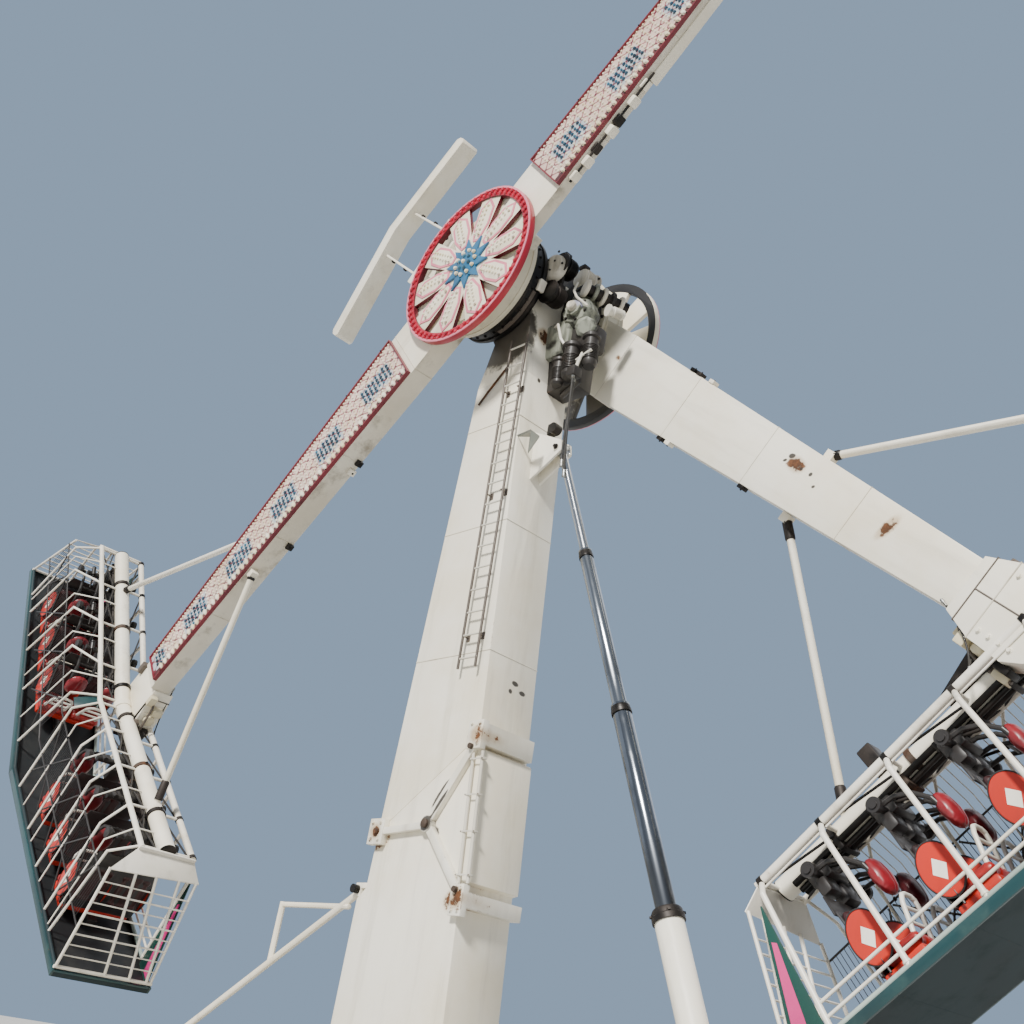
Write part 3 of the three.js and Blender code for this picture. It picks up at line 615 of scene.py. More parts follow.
def motor(reach, radius):
    """A finned motor on a stepped gearbox flange, its shaft along Z from the flange at 0."""
    fins = 9
    profile = [(0, 0), (1.12, 0), (1.12, 0.09), (0.86, 0.12), (0.86, 0.30), (1, 0.33)]
    for k in range(fins):
        low = 0.36 + 0.46 * k / fins
        profile += [(1, low), (1, low + 0.018), (0.86, low + 0.024), (0.86, low + 0.045)]
    profile += [(0.92, 0.83), (0.92, 0.93), (0.7, 1), (0, 1)]
    return turned([(radius * r, reach * z) for r, z in profile])


motor_circle, capped = 0.90, 13
cap_profile = [(0, -0.035), (0.13, -0.030), (0.182, 0.0), (0.200, 0.05), (0.200, 0.12), (0.165, 0.15), (0, 0.15)]
for side, sign, angles in (("front", -1, (capped, -20)), ("rear", 1, (16, -8, -32))):
    drive = Piece(side + "_drive_unit", machine_grey, greased_steel, cast_white)
    fan = swept([(0.58, 0, 0.18), (motor_circle, 0, 0.18), (motor_circle, 0, 0.215), (0.58, 0, 0.215)],
                (0, 0, 1), math.radians(angles[0] - angles[-1]), 14)
    drive.add(fan, hub_point @ Matrix.Rotation(math.radians(90), 4, "X") @ Matrix.Diagonal((1, 1, -sign, 1))
              @ Matrix.Rotation(math.radians(angles[-1]), 4, "Z"), finish=1)
    for angle in angles:
        a, inward = math.radians(angle), (0, -sign, 0)
        foot = Vector((motor_circle * math.cos(a), sign * 0.39, axis_height + motor_circle * math.sin(a)))
        drive.add(motor(0.26, 0.155), stand(foot + Vector((0, 0.1 * (angle == capped), 0)), inward),
                  finish={16: 2, -8: 0}.get(angle, 1))
        if angle == capped:
            cover = foot + Vector((-0.085, 0.03, -0.055))
            drive.add(turned(cap_profile), stand(cover, inward), finish=2)
            drive.add(bolt(0.022), *[stand(cover + Vector((x, -0.032, z)), (0, -1, 0))
                                     for x, z in around(0.10, (0.3, 1.9, 3.4, 5.0))], finish=1)
        drive.add(bolt(0.026), *[stand(foot + Vector((x, -sign * 0.03, z)), inward)
                                 for x, z in around(0.152, (0.4, 1.45, 2.5, 3.55, 4.6, 5.65))], finish=1)
        drive.add(block(foot + Vector((-0.05, -sign * 0.2 - 0.06, 0.14)),
                        foot + Vector((0.06, -sign * 0.2 + 0.06, 0.21)), 0.01), finish=1)
    drive.done("mast", side + "_drive_motors")

case_brown = weathered("gear_case_brown", dirt=0.6, rust=0.5, tones="241f1b 171412 0e0c0b",
                       gloss=0.6)
# Lilac-grey paint, used only for a painted highlight on the machinery.
lilac_highlight = weathered("lilac_highlight", dirt=0.5, rust=0.3, tones="a3a4b8 83849a")
brakes = Piece("drive_brakes_and_gearbox", machine_grey, greased_steel, cast_white, case_brown, conduit_grey,
               lilac_highlight)
gear = stand((1.03, 0.24, 10.98), (0.16, -1, 0.06))
brakes.add(turned([(0, 0), (0.20, 0), (0.235, 0.05), (0.235, 0.25), (0.20, 0.30), (0.12, 0.31), (0.12, 0.37),
                   (0, 0.37)], 8), gear)
brakes.add(turned([(0, 0.30), (0.07, 0.30), (0.07, 0.42), (0.05, 0.44), (0, 0.44)], 20), gear, finish=2)
brakes.add(bolt(0.032), *[gear @ stand((x, y, 0.302), (0, 0, 1))
                          for x, y in around(0.17, (0.2, 1.25, 2.3, 3.34, 4.39, 5.44))], finish=1)
brakes.add(turned([(0, 0), (0.12, 0), (0.15, 0.05), (0.15, 0.14), (0.10, 0.18), (0, 0.18)], 8),
           stand((1.20, 0.10, 10.72), (0.5, -0.7, -0.3)))
# This thin lilac plate on the gear case is a painted highlight on the grey machinery.
brakes.add(plate([(0.99, -0.135, 11.13), (1.17, -0.115, 11.10), (1.21, -0.105, 11.00), (1.10, -0.125, 10.95),
                  (1.00, -0.135, 11.02)], (0.01, 0.06, 0), 0.012), finish=5)
for k, tone in enumerate((2, 0, 2, 3, 2)):
    disc = stand(Vector((1.08, 0.04, 11.42)) + Vector((0.045, 0.125, -0.012)) * k, (0.34, 0.93, -0.09))
    brakes.add(turned([(0, 0), (0.118, 0), (0.132, 0.014), (0.132, 0.040), (0.118, 0.052), (0, 0.052)]), disc,
               finish=tone)
    brakes.add(turned([(0, 0.05), (0.085, 0.05), (0.085, 0.14), (0, 0.14)], 20), disc, finish=1)
for long, radius, foot, way, finish in ((0.26, 0.075, (1.46, 0.16, 10.98), (0.25, 0.95, 0.1), 4),
                                        (0.42, 0.10, (0.86, 0.02, 10.30), (0.10, -0.05, -1), 3),
                                        (0.52, 0.12, (1.10, -0.02, 10.42), (0.10, -0.05, -1), 3),
                                        (0.50, 0.11, (1.33, 0.08, 10.55), (0.10, -0.05, -1), 3)):
    brakes.add(motor(long, radius), stand(foot, way), finish=finish)
for low, high, rounding, finish in (((0.57, -0.06, 10.36), (1.02, 0.38, 10.92), 0.04, 0),
                                    ((0.62, 0.02, 9.86), (1.18, 0.36, 10.40), 0.03, 3),
                                    ((0.98, 0.0, 10.40), (1.36, 0.34, 10.78), 0.05, 3),
                                    ((1.29, -0.24, 9.78), (1.43, -0.09, 9.92), 0.012, 3)):
    brakes.add(block(low, high, rounding), finish=finish)
for radius, sides, finish, *line in (
        (0.018, 8, 4, (1.00, -0.02, 11.50), (1.04, -0.10, 11.30), (1.16, -0.14, 11.12), (1.30, -0.06, 10.98)),
        (0.020, 10, 4, (0.70, -0.03, 10.86), (0.86, -0.12, 10.80), (0.98, -0.14, 10.52), (1.22, -0.05, 10.14),
         (1.46, -0.02, 10.25)),
        (0.022, 10, 4, (1.30, -0.02, 10.25), (1.33, -0.10, 10.05), (1.35, -0.15, 9.90)),
        (0.035, 10, 3, (0.66, 0.30, 10.10), (0.90, 0.12, 9.80), (1.30, 0.0, 9.84))):
    brakes.add(tube(line, radius, sides), finish=finish)
brakes.done("mast", slot="front_drive_motors")


# Lifting cylinder: a white barrel and three drawn-out chromed stages with a gland nut at each mouth.
# The chrome is dulled by weather, brightest where the next stage slides over it.
lean = math.radians(-23)


def chromed(name, tone, dull):
    """Hard chrome with fine marks along its stroke and a haze of weather."""
    f = Finish(name, Metallic=1.0)
    draw = f.noise(f.lay((0.02, 0.02, 1.5), lean), 1, 4)
    haze = f.noise(f.here, 1.6, 5).between(0.4, 0.7)
    return f.paint(f.mix(haze, tint(tone), tint(dull)), draw * 0.12 + haze * 0.18 + 0.10, draw, 0.0005)


eye, foot = Vector((1.18, 0, 8.85)), Vector((4.51, 0, 1.02))
axis = (eye - foot).normalized()
gland = [(0.0, 0), (1.0, 0), (1.0, 0.05), (0.94, 0.06), (0.94, 0.10), (0.86, 0.12), (0.0, 0.12)]
barrel = Piece("cylinder_barrel_tube", weathered("barrel_white", lean, (0.2, 0.2, 2), 0.35, 0.6, edge=0),
               greased_steel).add(shell("cylinder_barrel", 0.006))
for k, radius in ((0.88, 0.178), (2.40, 0.158)):
    barrel.add(turned([(radius * r, h) for r, h in gland], 32), stand(foot + axis * k, axis), finish=1)
beside = [Matrix.Rotation(math.pi / 2 * k, 3, axis) @ axis.orthogonal().normalized() for k in range(4)]
barrel.add(bolt(0.03), *[stand(foot + axis * 2.47 + way * 0.15, way) for way in beside], finish=1)
barrel.done("mast", "cylinder_barrel")
for node, mouth, radius, tones in (("cylinder_stage_1", 4.74, 0.100, ("7e848c", "54585e")),
                                   ("cylinder_stage_2", 6.85, 0.078, ("9aa0a7", "6c7177")),
                                   ("cylinder_rod", 0, 0, ("b9bdc2", "8b8f94"))):
    stage = Piece(node + "_chrome", chromed(node + "_plating", *tones), greased_steel).add(shell(node, 0.003))
    if mouth:
        stage.add(turned([(radius * 1.10 * r, h * 0.8) for r, h in gland], 28),
                  stand(foot + axis * (mouth - 0.11), axis), finish=1)
    stage.done("mast", node)


# Arms: tapering box beams, each with its hub drum, in gloss white gone cream. Rust has broken
# through on the rear one's inner side, cable clips sit on the seams, and fittings crowd the tails.
arm_white = {side: weathered(side + "_arm_white", turn, (3.0, 0.3, 0.3), 0.3, 0.45)
             for side, turn in arm_turns.items()}


def painted(shape, choose):
    """Gives each face of a shape the finish that a rule picks from its middle and its direction."""
    for face in shape.faces:
        face.material_index, face.smooth = choose(face.calc_center_median(), face.normal), True
    return shape


half_height = lambda r: 0.5 - 0.268 * max(0, abs(r) - 1.5) / 7.5
rear_spots = [((4.12, 0.77, 8.24), (0.26, 0.2, 0.16), 0.7), ((5.24, 0.77, 7.22), (0.30, 0.2, 0.13), -0.6),
              ((1.18, 0.77, 10.67), (0.12, 0.2, 0.08), 0.7)]
rear_grease = [((4.06, 0.77, 8.36), (0.085, 0.1, 0.055), 0.3), ((3.97, 0.77, 8.33), (0.05, 0.1, 0.03), 0),
               ((4.19, 0.77, 8.16), (0.04, 0.1, 0.03), 0), ((4.31, 0.77, 8.06), (0.05, 0.1, 0.045), 0),
               ((4.35, 0.77, 7.9), (0.04, 0.1, 0.03), 0)]
arm_white["rear"] = weathered("rear_arm_paint", arm_turns["rear"], (3.0, 0.3, 0.3), 0.22, 0.5,
                              marks=rear_spots, grease_and_shadow=rear_grease)
clips = ((3.10, 1, 2), (3.27, 1, 0), (4.75, 1, 2), (2.88, -1, 2), (3.02, -1, 2), (3.30, -1, 0))
tail_boxes = ((-1.78, 0.07, 0), (-2.02, 0.10, 0), (-2.22, 0.05, 2), (-2.50, 0.12, 0), (-2.66, 0.08, 2),
              (-2.95, 0.10, 0), (-3.2, 0.05, 0))
for side, place in arm_place.items():
    home, body = place.inverted(), side + "_arm"
    # Faces turned downwards get a darker, grimier paint: grime and painted shade.
    underside = weathered(side + "_arm_underside", arm_turns[side], (0.3, 0.3, 3.0), 0.75, 0.7,
                          tones="e2dccd c9bfa9 6f6350")
    beam = Piece(side + "_arm_box", arm_white[side], weld_tone, greased_steel, underside)
    beam.put(painted(shell(side + "_arm_beam", 0.010), lambda middle, normal: 3 * (normal.z < -0.4)), home)
    for r in (-3.9, -2.4, 1.5, 3.1, 4.7, 6.3):
        h, low, high = half_height(r), -1.08, -0.765 if r > 0 else -0.90
        seam = [(r, low, -h), (r, low, h), (r, high, h), (r, high, -h), (r, low, -h)]
        beam.add(tube(seam, 0.0055, 6), finish=1)
    for r, up, finish in clips:
        t = up * half_height(r)
        low, high = sorted((t, t + up * 0.05))
        beam.add(block((r - 0.045, -0.86, low), (r + 0.045, -0.755, high), 0.006), finish=finish)
        beam.add(bolt(0.020), stand((r, -0.80, t + up * 0.05), (0, 0, up)), finish=2)
    for r, deep, finish in tail_boxes:
        h = half_height(r)
        beam.add(block((r - 0.09, -1.06, h), (r + 0.05, -0.93, h + deep), 0.02), finish=finish)
    beam.add(tube([(r, -1.02, half_height(r) + 0.045) for r in (-1.7, -2.3, -3.1, -3.4)], 0.018, 8), finish=2)
    beam.add(plate([(r, y, half_height(r) + 0.004) for r, y in ((-4.6, -1.0), (-3.3, -1.0), (-3.3, -0.86),
                                                               (-4.6, -0.86))], (0, 0, 0.03), 0.006))
    beam.done(body, side + "_arm_beam", place=place)
    hub_cream = weathered(side + "_hub_cream", dirt=0.7, rust=0.8, tones="ded8c4 c3b99c")
    hub = Piece(side + "_hub_barrel", hub_cream, greased_steel).add(shell(side + "_hub_drum", 0.012), home)
    hub.add(bolt(0.036), *[stand((x, -0.70, z), (0, 1, 0)) for x, z in around(0.83, 30)], finish=1)
    for low in (-1.0, -0.78):
        hub.add(turned([(0.878, 0), (0.892, 0), (0.892, 0.03), (0.878, 0.03)], 48, ring=True),
                stand((0, low, 0), (0, 1, 0)))
    hub.done(body, side + "_hub_drum", place=place)


# Light panels: shallow trays of painted sheet screwed to the arms' outer sides, rimmed in dark red,
# their cream boards printed with a diamond lattice and set with rows of cream and teal lamp caps.
rim_red = weathered("panel_red", dirt=0.4, rust=0.4, tones="7d2230 5f1a26 33191a", gloss=0.4)


def lamp_cap(name, code, glow):
    """Cast plastic of a lamp's cap: ribbed, a little glossy, yellowed in patches."""
    f = Finish(name, Coat_Weight=0.4, Coat_Roughness=0.12)
    age, grit = f.noise(f.here, 2.5, 4).between(0.35, 0.7), f.noise(f.here, 60, 3)
    return f.paint(f.mix(age, tint(code), tint(glow)), grit * 0.15 + age * 0.12 + 0.14, grit, 0.0006)


cap_cream, cap_teal, cap_red, cap_navy = [lamp_cap(*look) for look in (
    ("cream_lamp_cap", "f4eedd", "dfcfa6"), ("teal_lamp_cap", "35728c", "234f63"),
    ("red_lamp_cap", "c2203a", "8f1029"), ("navy_lamp_cap", "274d63", "16303f"))]


def lattice_board(name, side, middle):
    """Enamel with a lattice of thin dark red lines, a diamond at each crossing and pale blue fields."""
    f = Finish(name + "_board", Coat_Weight=0.3, Coat_Roughness=0.2)
    hub = (0, 0, axis_height)
    x, z = f.across(f.lay((0.23, 1, 0.21), arm_turns[side], hub))
    up, down = (x + z).math("PINGPONG", 0.5), (x - z).math("PINGPONG", 0.5)
    lines = up.math("MINIMUM", down).between(0.10, 0.055)
    knots = (up + down).between(0.26, 0.20)
    dust = f.noise(f.here, 3.0, 6, 0.6).between(0.4, 0.75)
    tone = f.mix(f.noise(f.here, 0.8, 3), tint("e6cdc1"), tint("cfaf9f"))
    metres, height = f.across(f.lay((1, 1, 1), arm_turns[side], hub))
    field = (metres - middle).math("PINGPONG", 0.56).between(0.34, 0.28)
    tone = f.mix(field * height.math("ABSOLUTE").between(0.24, 0.20) * 0.8, tone, tint("a9bcc8"))
    tone = f.mix(knots, f.mix(lines * 0.85, tone, tint("8c3140")), tint("6b2a38"))
    return f.paint(f.mix(dust * 0.4, tone, tint("8d8470")), dust * 0.3 + 0.3, lines * -0.5 + dust * 0.2, 0.001)


def outward(x, y, z):
    """Where a shape goes so that it stands on the outer side of an arm."""
    return stand((x, y, z), (0, -1, 0))


def cap(size, steps=8, flat=None):
    """The cap of a lamp, for a size of 1 it is 76 mm across and 36 mm high."""
    return turned([(r * size, h * (size if flat is None else flat))
                   for r, h in ((0.038, 0), (0.036, 0.016), (0.026, 0.030), (0.0, 0.036))], steps)


# Dark brown for painted shade along the light panels' lower edges.
shade_band_brown = weathered("panel_band_brown", dirt=0.5, rust=0.3, edge=0, tones="5b2a2a 442022 2c1a18", gloss=0.45)
tray_back, tray_deep, board_face, lamp_foot = -1.0803, 0.0597, -1.1098, -1.1100
cap_step, field_step, field_half = 0.078, 1.12, 0.56
for side, place in arm_place.items():
    for node, start, end, middle in ((side + "_gondola_light_panel", 1.58, 7.75, 2.11),
                                     (side + "_tail_light_panel", -4.78, -1.58, -2.11)):
        tall, span = lambda r: half_height(r) - 0.01, end - start
        board = lattice_board(node, side, middle)
        corners = ((start, -tall(start)), (end, -tall(end)), (end, tall(end)), (start, tall(start)))
        tray, front = extruded([(r, tray_back, t) for r, t in corners], (0, -tray_deep, 0))
        for face in tray.faces:
            face.smooth = True
        for inset, deep, finish in ((0.016, 0, 0), (0.004, -0.030, 1)):
            bmesh.ops.inset_region(tray, faces=[front], thickness=inset, depth=deep, use_even_offset=True)
            front.material_index = finish
        panel = Piece(node + "_tray", rim_red, board, cap_cream, cap_teal, greased_steel, shade_band_brown, cap_navy)
        panel.put(tray)
        # A dark brown band along each board's lower edge, under the lowest lamp teeth, is painted shade of the
        # tray's lower side.
        band = ((start, 0.022, 0.022), (end, -0.022, 0.022), (end, -0.022, 0.135), (start, 0.022, 0.135))
        panel.add(plate([(r + inset, board_face, tall(r) - down) for r, inset, down in band],
                        (0, -0.003, 0), 0.001), finish=5)
        creams, teals, navies = [], [], []
        for i in range(int((span - 0.18) / cap_step) + 1):
            r = start + 0.10 + i * cap_step
            near = abs((r - middle + field_half) % field_step - field_half) < 0.29
            for j in range(-5, 6):
                t = (j + 0.5 * (i % 2)) * 0.080 - 0.03
                if -tall(r) + 0.085 < t < tall(r) - 0.17:
                    caps = creams if not near or abs(t + 0.02) >= 0.17 else navies if (i + j) % 3 else teals
                    caps.append(outward(r, lamp_foot, t))
        small = [outward(r, lamp_foot, -(tall(r) - 0.040))
                 for r in (start + 0.06 + i * 0.060 for i in range(int((span - 0.1) / 0.060)))]
        teeth = [outward(r, -1.1125, tall(r) - 0.115) @ Matrix.Diagonal((1.7, 0.85, 1, 1))
                 for r in (start + 0.08 + i * 0.105 for i in range(int((span - 0.1) / 0.105)))]
        for spots, size, finish in ((creams, 0.50, 2), (teals, 0.60, 3), (navies, 0.72, 6), (small, 0.45, 2),
                                    (teeth, 1.0, 2)):
            panel.add(cap(size, 7), *spots, finish=finish)
        screws = [start + 0.2 + k * (span - 0.4) / 7 for k in range(8)]
        panel.add(bolt(0.016), *[outward(r, -1.1401, s * (tall(r) - 0.010)) for r in screws for s in (-1, 1)],
                  finish=4)
        panel.done(side + "_arm", node, place=place)


# Light wheels: a red rim studded with lamps, ten cream petals edged in pink on a pierced plate, and
# a blue star with a lamp cluster in the middle. The rear wheel shows its white back instead, with
# painted shade: near-black on its rim and a dark patch on its back, white only where the sun falls.
star_blue = weathered("star_blue", dirt=0.35, rust=0.3, tones="2d6f97 205274 23303a", gloss=0.35)
pink_edge = weathered("petal_pink", dirt=0.3, rust=0.2, tones="e58b9b cc6f82 7a4a4c", gloss=0.4)
petal_cream = weathered("petal_cream", dirt=0.3, rust=0.25, tones="f3ecda e0d4b6 8d8066",
                        gloss=0.35)
rim_paint = weathered("wheel_rim_red", dirt=0.3, rust=0.3, tones="b3122e 8f1027 43191c", gloss=0.3)
# Near-black for painted shade on the rear rim's back outside its sunlit part.
hoop_shade_black = weathered("rear_hoop_black", dirt=0.4, rust=0.3, tones="171515 100f0f 2a2622",
                       gloss=0.5)
# The black patch on this white is painted shadow of the hub and arm across the rear wheel's lower back.
back_white = weathered("rear_star_white", dirt=0.3, rust=0.25, edge=0, tones="f3ecda e0d4b6", gloss=0.35,
                       grease_and_shadow=[((0.45, 1.49, 10.45), (1.5, 0.8, 0.95), 0.2)])
# Dark red for painted shade: on the front rim's inner wall and on the edges of the front petal plate.
rim_shade = weathered("rim_inner_red", dirt=0.5, rust=0.3, edge=0, tones="6e1022 4e0c19 2a1012",
                      gloss=0.4)


def rim_finish(middle, normal):
    """Red outside and on the front wheel's rim, whose inner wall is dark red as painted shade; behind
    the rear wheel, white where it is sunlit and near-black painted shade elsewhere.
    """
    out = Vector((middle.x, 0, middle.z - axis_height)).normalized()
    if normal.y * sign > 0.5 or side == "front" and normal.dot(out) > 0.5:
        return 0
    if side == "rear":
        return 5 if math.radians(-14) < math.atan2(out.z, out.x) < math.radians(36) else 6
    return 4


for side, sign, front in (("front", -1, -1.185), ("rear", 1, -1.490)):
    place, home, body = arm_place[side], arm_place[side].inverted(), side + "_arm"
    rim = Piece(side + "_wheel_rim", rim_paint, pink_edge, cap_cream, cap_red, rim_shade, back_white, hoop_shade_black)
    rim.put(painted(shell(side + "_disc_rim", 0.006), rim_finish), home)
    rim.add(turned([(1.175, 0), (1.204, 0), (1.204, 0.012), (1.175, 0.012)], 60, ring=True),
            outward(0, front, 0), finish=1)
    for radius, count in ((1.155, 60), (1.105, 58)):
        rim.add(cap(0.74, 8, 0.8), *[outward(x, front, z) for x, z in around(radius, count)], finish=3)
    rim.done(body, side + "_disc_rim", place=place)
    wheel = Piece(side + "_wheel_petals", petal_cream, pink_edge, star_blue, cap_cream, cap_teal, back_white,
                  rim_shade)
    # The front plate's edges take the dark red of painted shade; the rear plate is white back all over.
    wheel.put(painted(shell(side + "_disc_face", 0.003),
                      lambda middle, normal: 5 if side == "rear" else 0 if abs(normal.y) > 0.5 else 6), home)
    outline = ((0.36, -0.06), (0.62, -0.155), (0.90, -0.145), (1.055, 0),
               (0.90, 0.145), (0.62, 0.155), (0.36, 0.06))
    petal, leaf = extruded([(r, 0, w) for r, w in outline], (0, -0.012, 0))
    for face in petal.faces:
        face.material_index, face.smooth = 1, True
    leaf.normal_update()
    bmesh.ops.inset_region(petal, faces=[leaf], thickness=0.036, depth=0.0, use_even_offset=True)
    leaf.material_index = 0
    bmesh.ops.inset_region(petal, faces=[leaf], thickness=0.05, depth=0.022, use_even_offset=True)
    plane = Matrix.Translation((0, front + 0.025, 0))
    turns = [plane @ Matrix.Rotation(k * math.pi / 5, 4, "Y") for k in range(10)]
    wheel.put(petal, *turns)
    dome = [(0, 0.075), (0.07, 0.07), (0.15, 0.045), (0.20, 0.03), (0.26, 0.012), (0.26, 0), (0, 0)]
    wheel.add(turned(dome, 40),
              outward(0, front + 0.025, 0), finish=2)
    wheel.add(plate([(0.20, 0, -0.085), (0.44, 0, 0.02), (0.20, 0, 0.085)], (0, -0.032, 0), 0.004),
              *[m @ Matrix.Rotation(math.pi / 10, 4, "Y") for m in turns], finish=2)
    for radius, count, finish in ((0.0, 1, 3), (0.10, 6, 4), (0.19, 10, 3)):
        level = front - 0.048 + radius * 0.17
        wheel.add(cap(0.8, 8, 1), *[outward(x, level, z) for x, z in around(radius, count)], finish=finish)
    wheel.add(cap(0.55, 7, 0.7), *[m @ outward(0.46 + 0.075 * k, -0.032, w)
                                   for m in turns for k in range(7) for w in (-0.036, 0.036)], finish=3)
    wheel.done(body, side + "_disc_face", place=place)


# Counterweights: a slab of steel bent to the arc it swings on, carried on link plates behind a
# cross plate, with rounded ends, bolted keeper plates and a lifting eye.
for side, place in arm_place.items():
    slab = Piece(side + "_counterweight_slab", arm_white[side], greased_steel, rusted_steel)
    slab.add(shell(side + "_counterweight", 0.014), place.inverted())
    for t in (-0.48, 0.48):
        out = t + math.copysign(0.022, t)
        slab.add(turned([(0, 0), (0.05, 0), (0.05, 0.012), (0.035, 0.02), (0.035, 0.035), (0, 0.035)], 16),
                 *[stand((r, -0.98, out), (0, 0, t)) for r in (-5.25, -5.9, -6.5)], finish=1)
    slab.add(bolt(0.05), *[stand((-4.8503, y, t), (1, 0, 0)) for y in (-1.05, -0.80)
                           for t in (-0.60, -0.36, 0.36, 0.60)], finish=1)
    for t in (-1.9, -1.1, 1.1, 1.9):
        back = abs(t) * 0.13 - 0.045
        slab.add(block((back - 6.95, -1.10, t - 0.09), (back - 6.88, -0.94, t + 0.09), 0.01))
    slab.add(turned([(0, 0), (0.06, 0.0), (0.085, 0.03), (0.09, 0.07), (0.075, 0.11), (0.04, 0.135), (0, 0.14)]),
             stand((-4.92, -0.92, -0.67), (0, 0, -1)))
    slab.add(block((-5.10, -1.10, 0.60), (-5.0, -0.90, 0.74), 0.01), finish=2)
    slab.done(side + "_arm", side + "_counterweight", place=place)


# Gondola carriers: the box welded to each arm's end, the thick round beam under the roof with its
# dark clamps, and the struts that steady it, white tube with dark forged clevises. On the rear lower
# strut the dark sleeve at the arm runs long as painted shadow.
bend, roof = math.radians(8.75), Vector((8.58, -1.11, 0))


def half_frame(half):
    """Carries a shape drawn along the rows, across and downwards into one half of the gondola."""
    s, c = math.sin(bend), math.cos(bend)
    return Matrix(((-s, 0, c, roof.x), (0, 1, 0, roof.y), (half * c, 0, half * s, 0), (0, 0, 0, 1)))


halves = half_frame(-1), half_frame(1)
seat = lambda half, s, w, y: halves[half > 0] @ Vector((s, y, w))
fitting_cream = weathered("fitting_cream", dirt=0.7, rust=0.7, tones="ddd3b4 b9ab86 5f5238")
end_boxes = ((8.02, -1.0, 0.36, 0.16, 0.12, 0.09, 3), (8.16, -0.84, 0.385, 0.12, 0.16, 0.12, 3),
             (8.44, -1.04, 0.43, 0.10, 0.10, 0.10, 4), (8.60, -0.98, 0.44, 0.18, 0.12, 0.13, 3),
             (8.05, -1.02, -0.44, 0.18, 0.12, 0.10, 4), (8.30, -0.9, -0.50, 0.14, 0.16, 0.10, 3))
roof_pipes = ((-0.10, 0.105, 0.030, 0.30), (-0.035, 0.150, 0.036, 0.42), (0.045, 0.150, 0.030, 0.34),
              (0.11, 0.095, 0.034, 0.50))
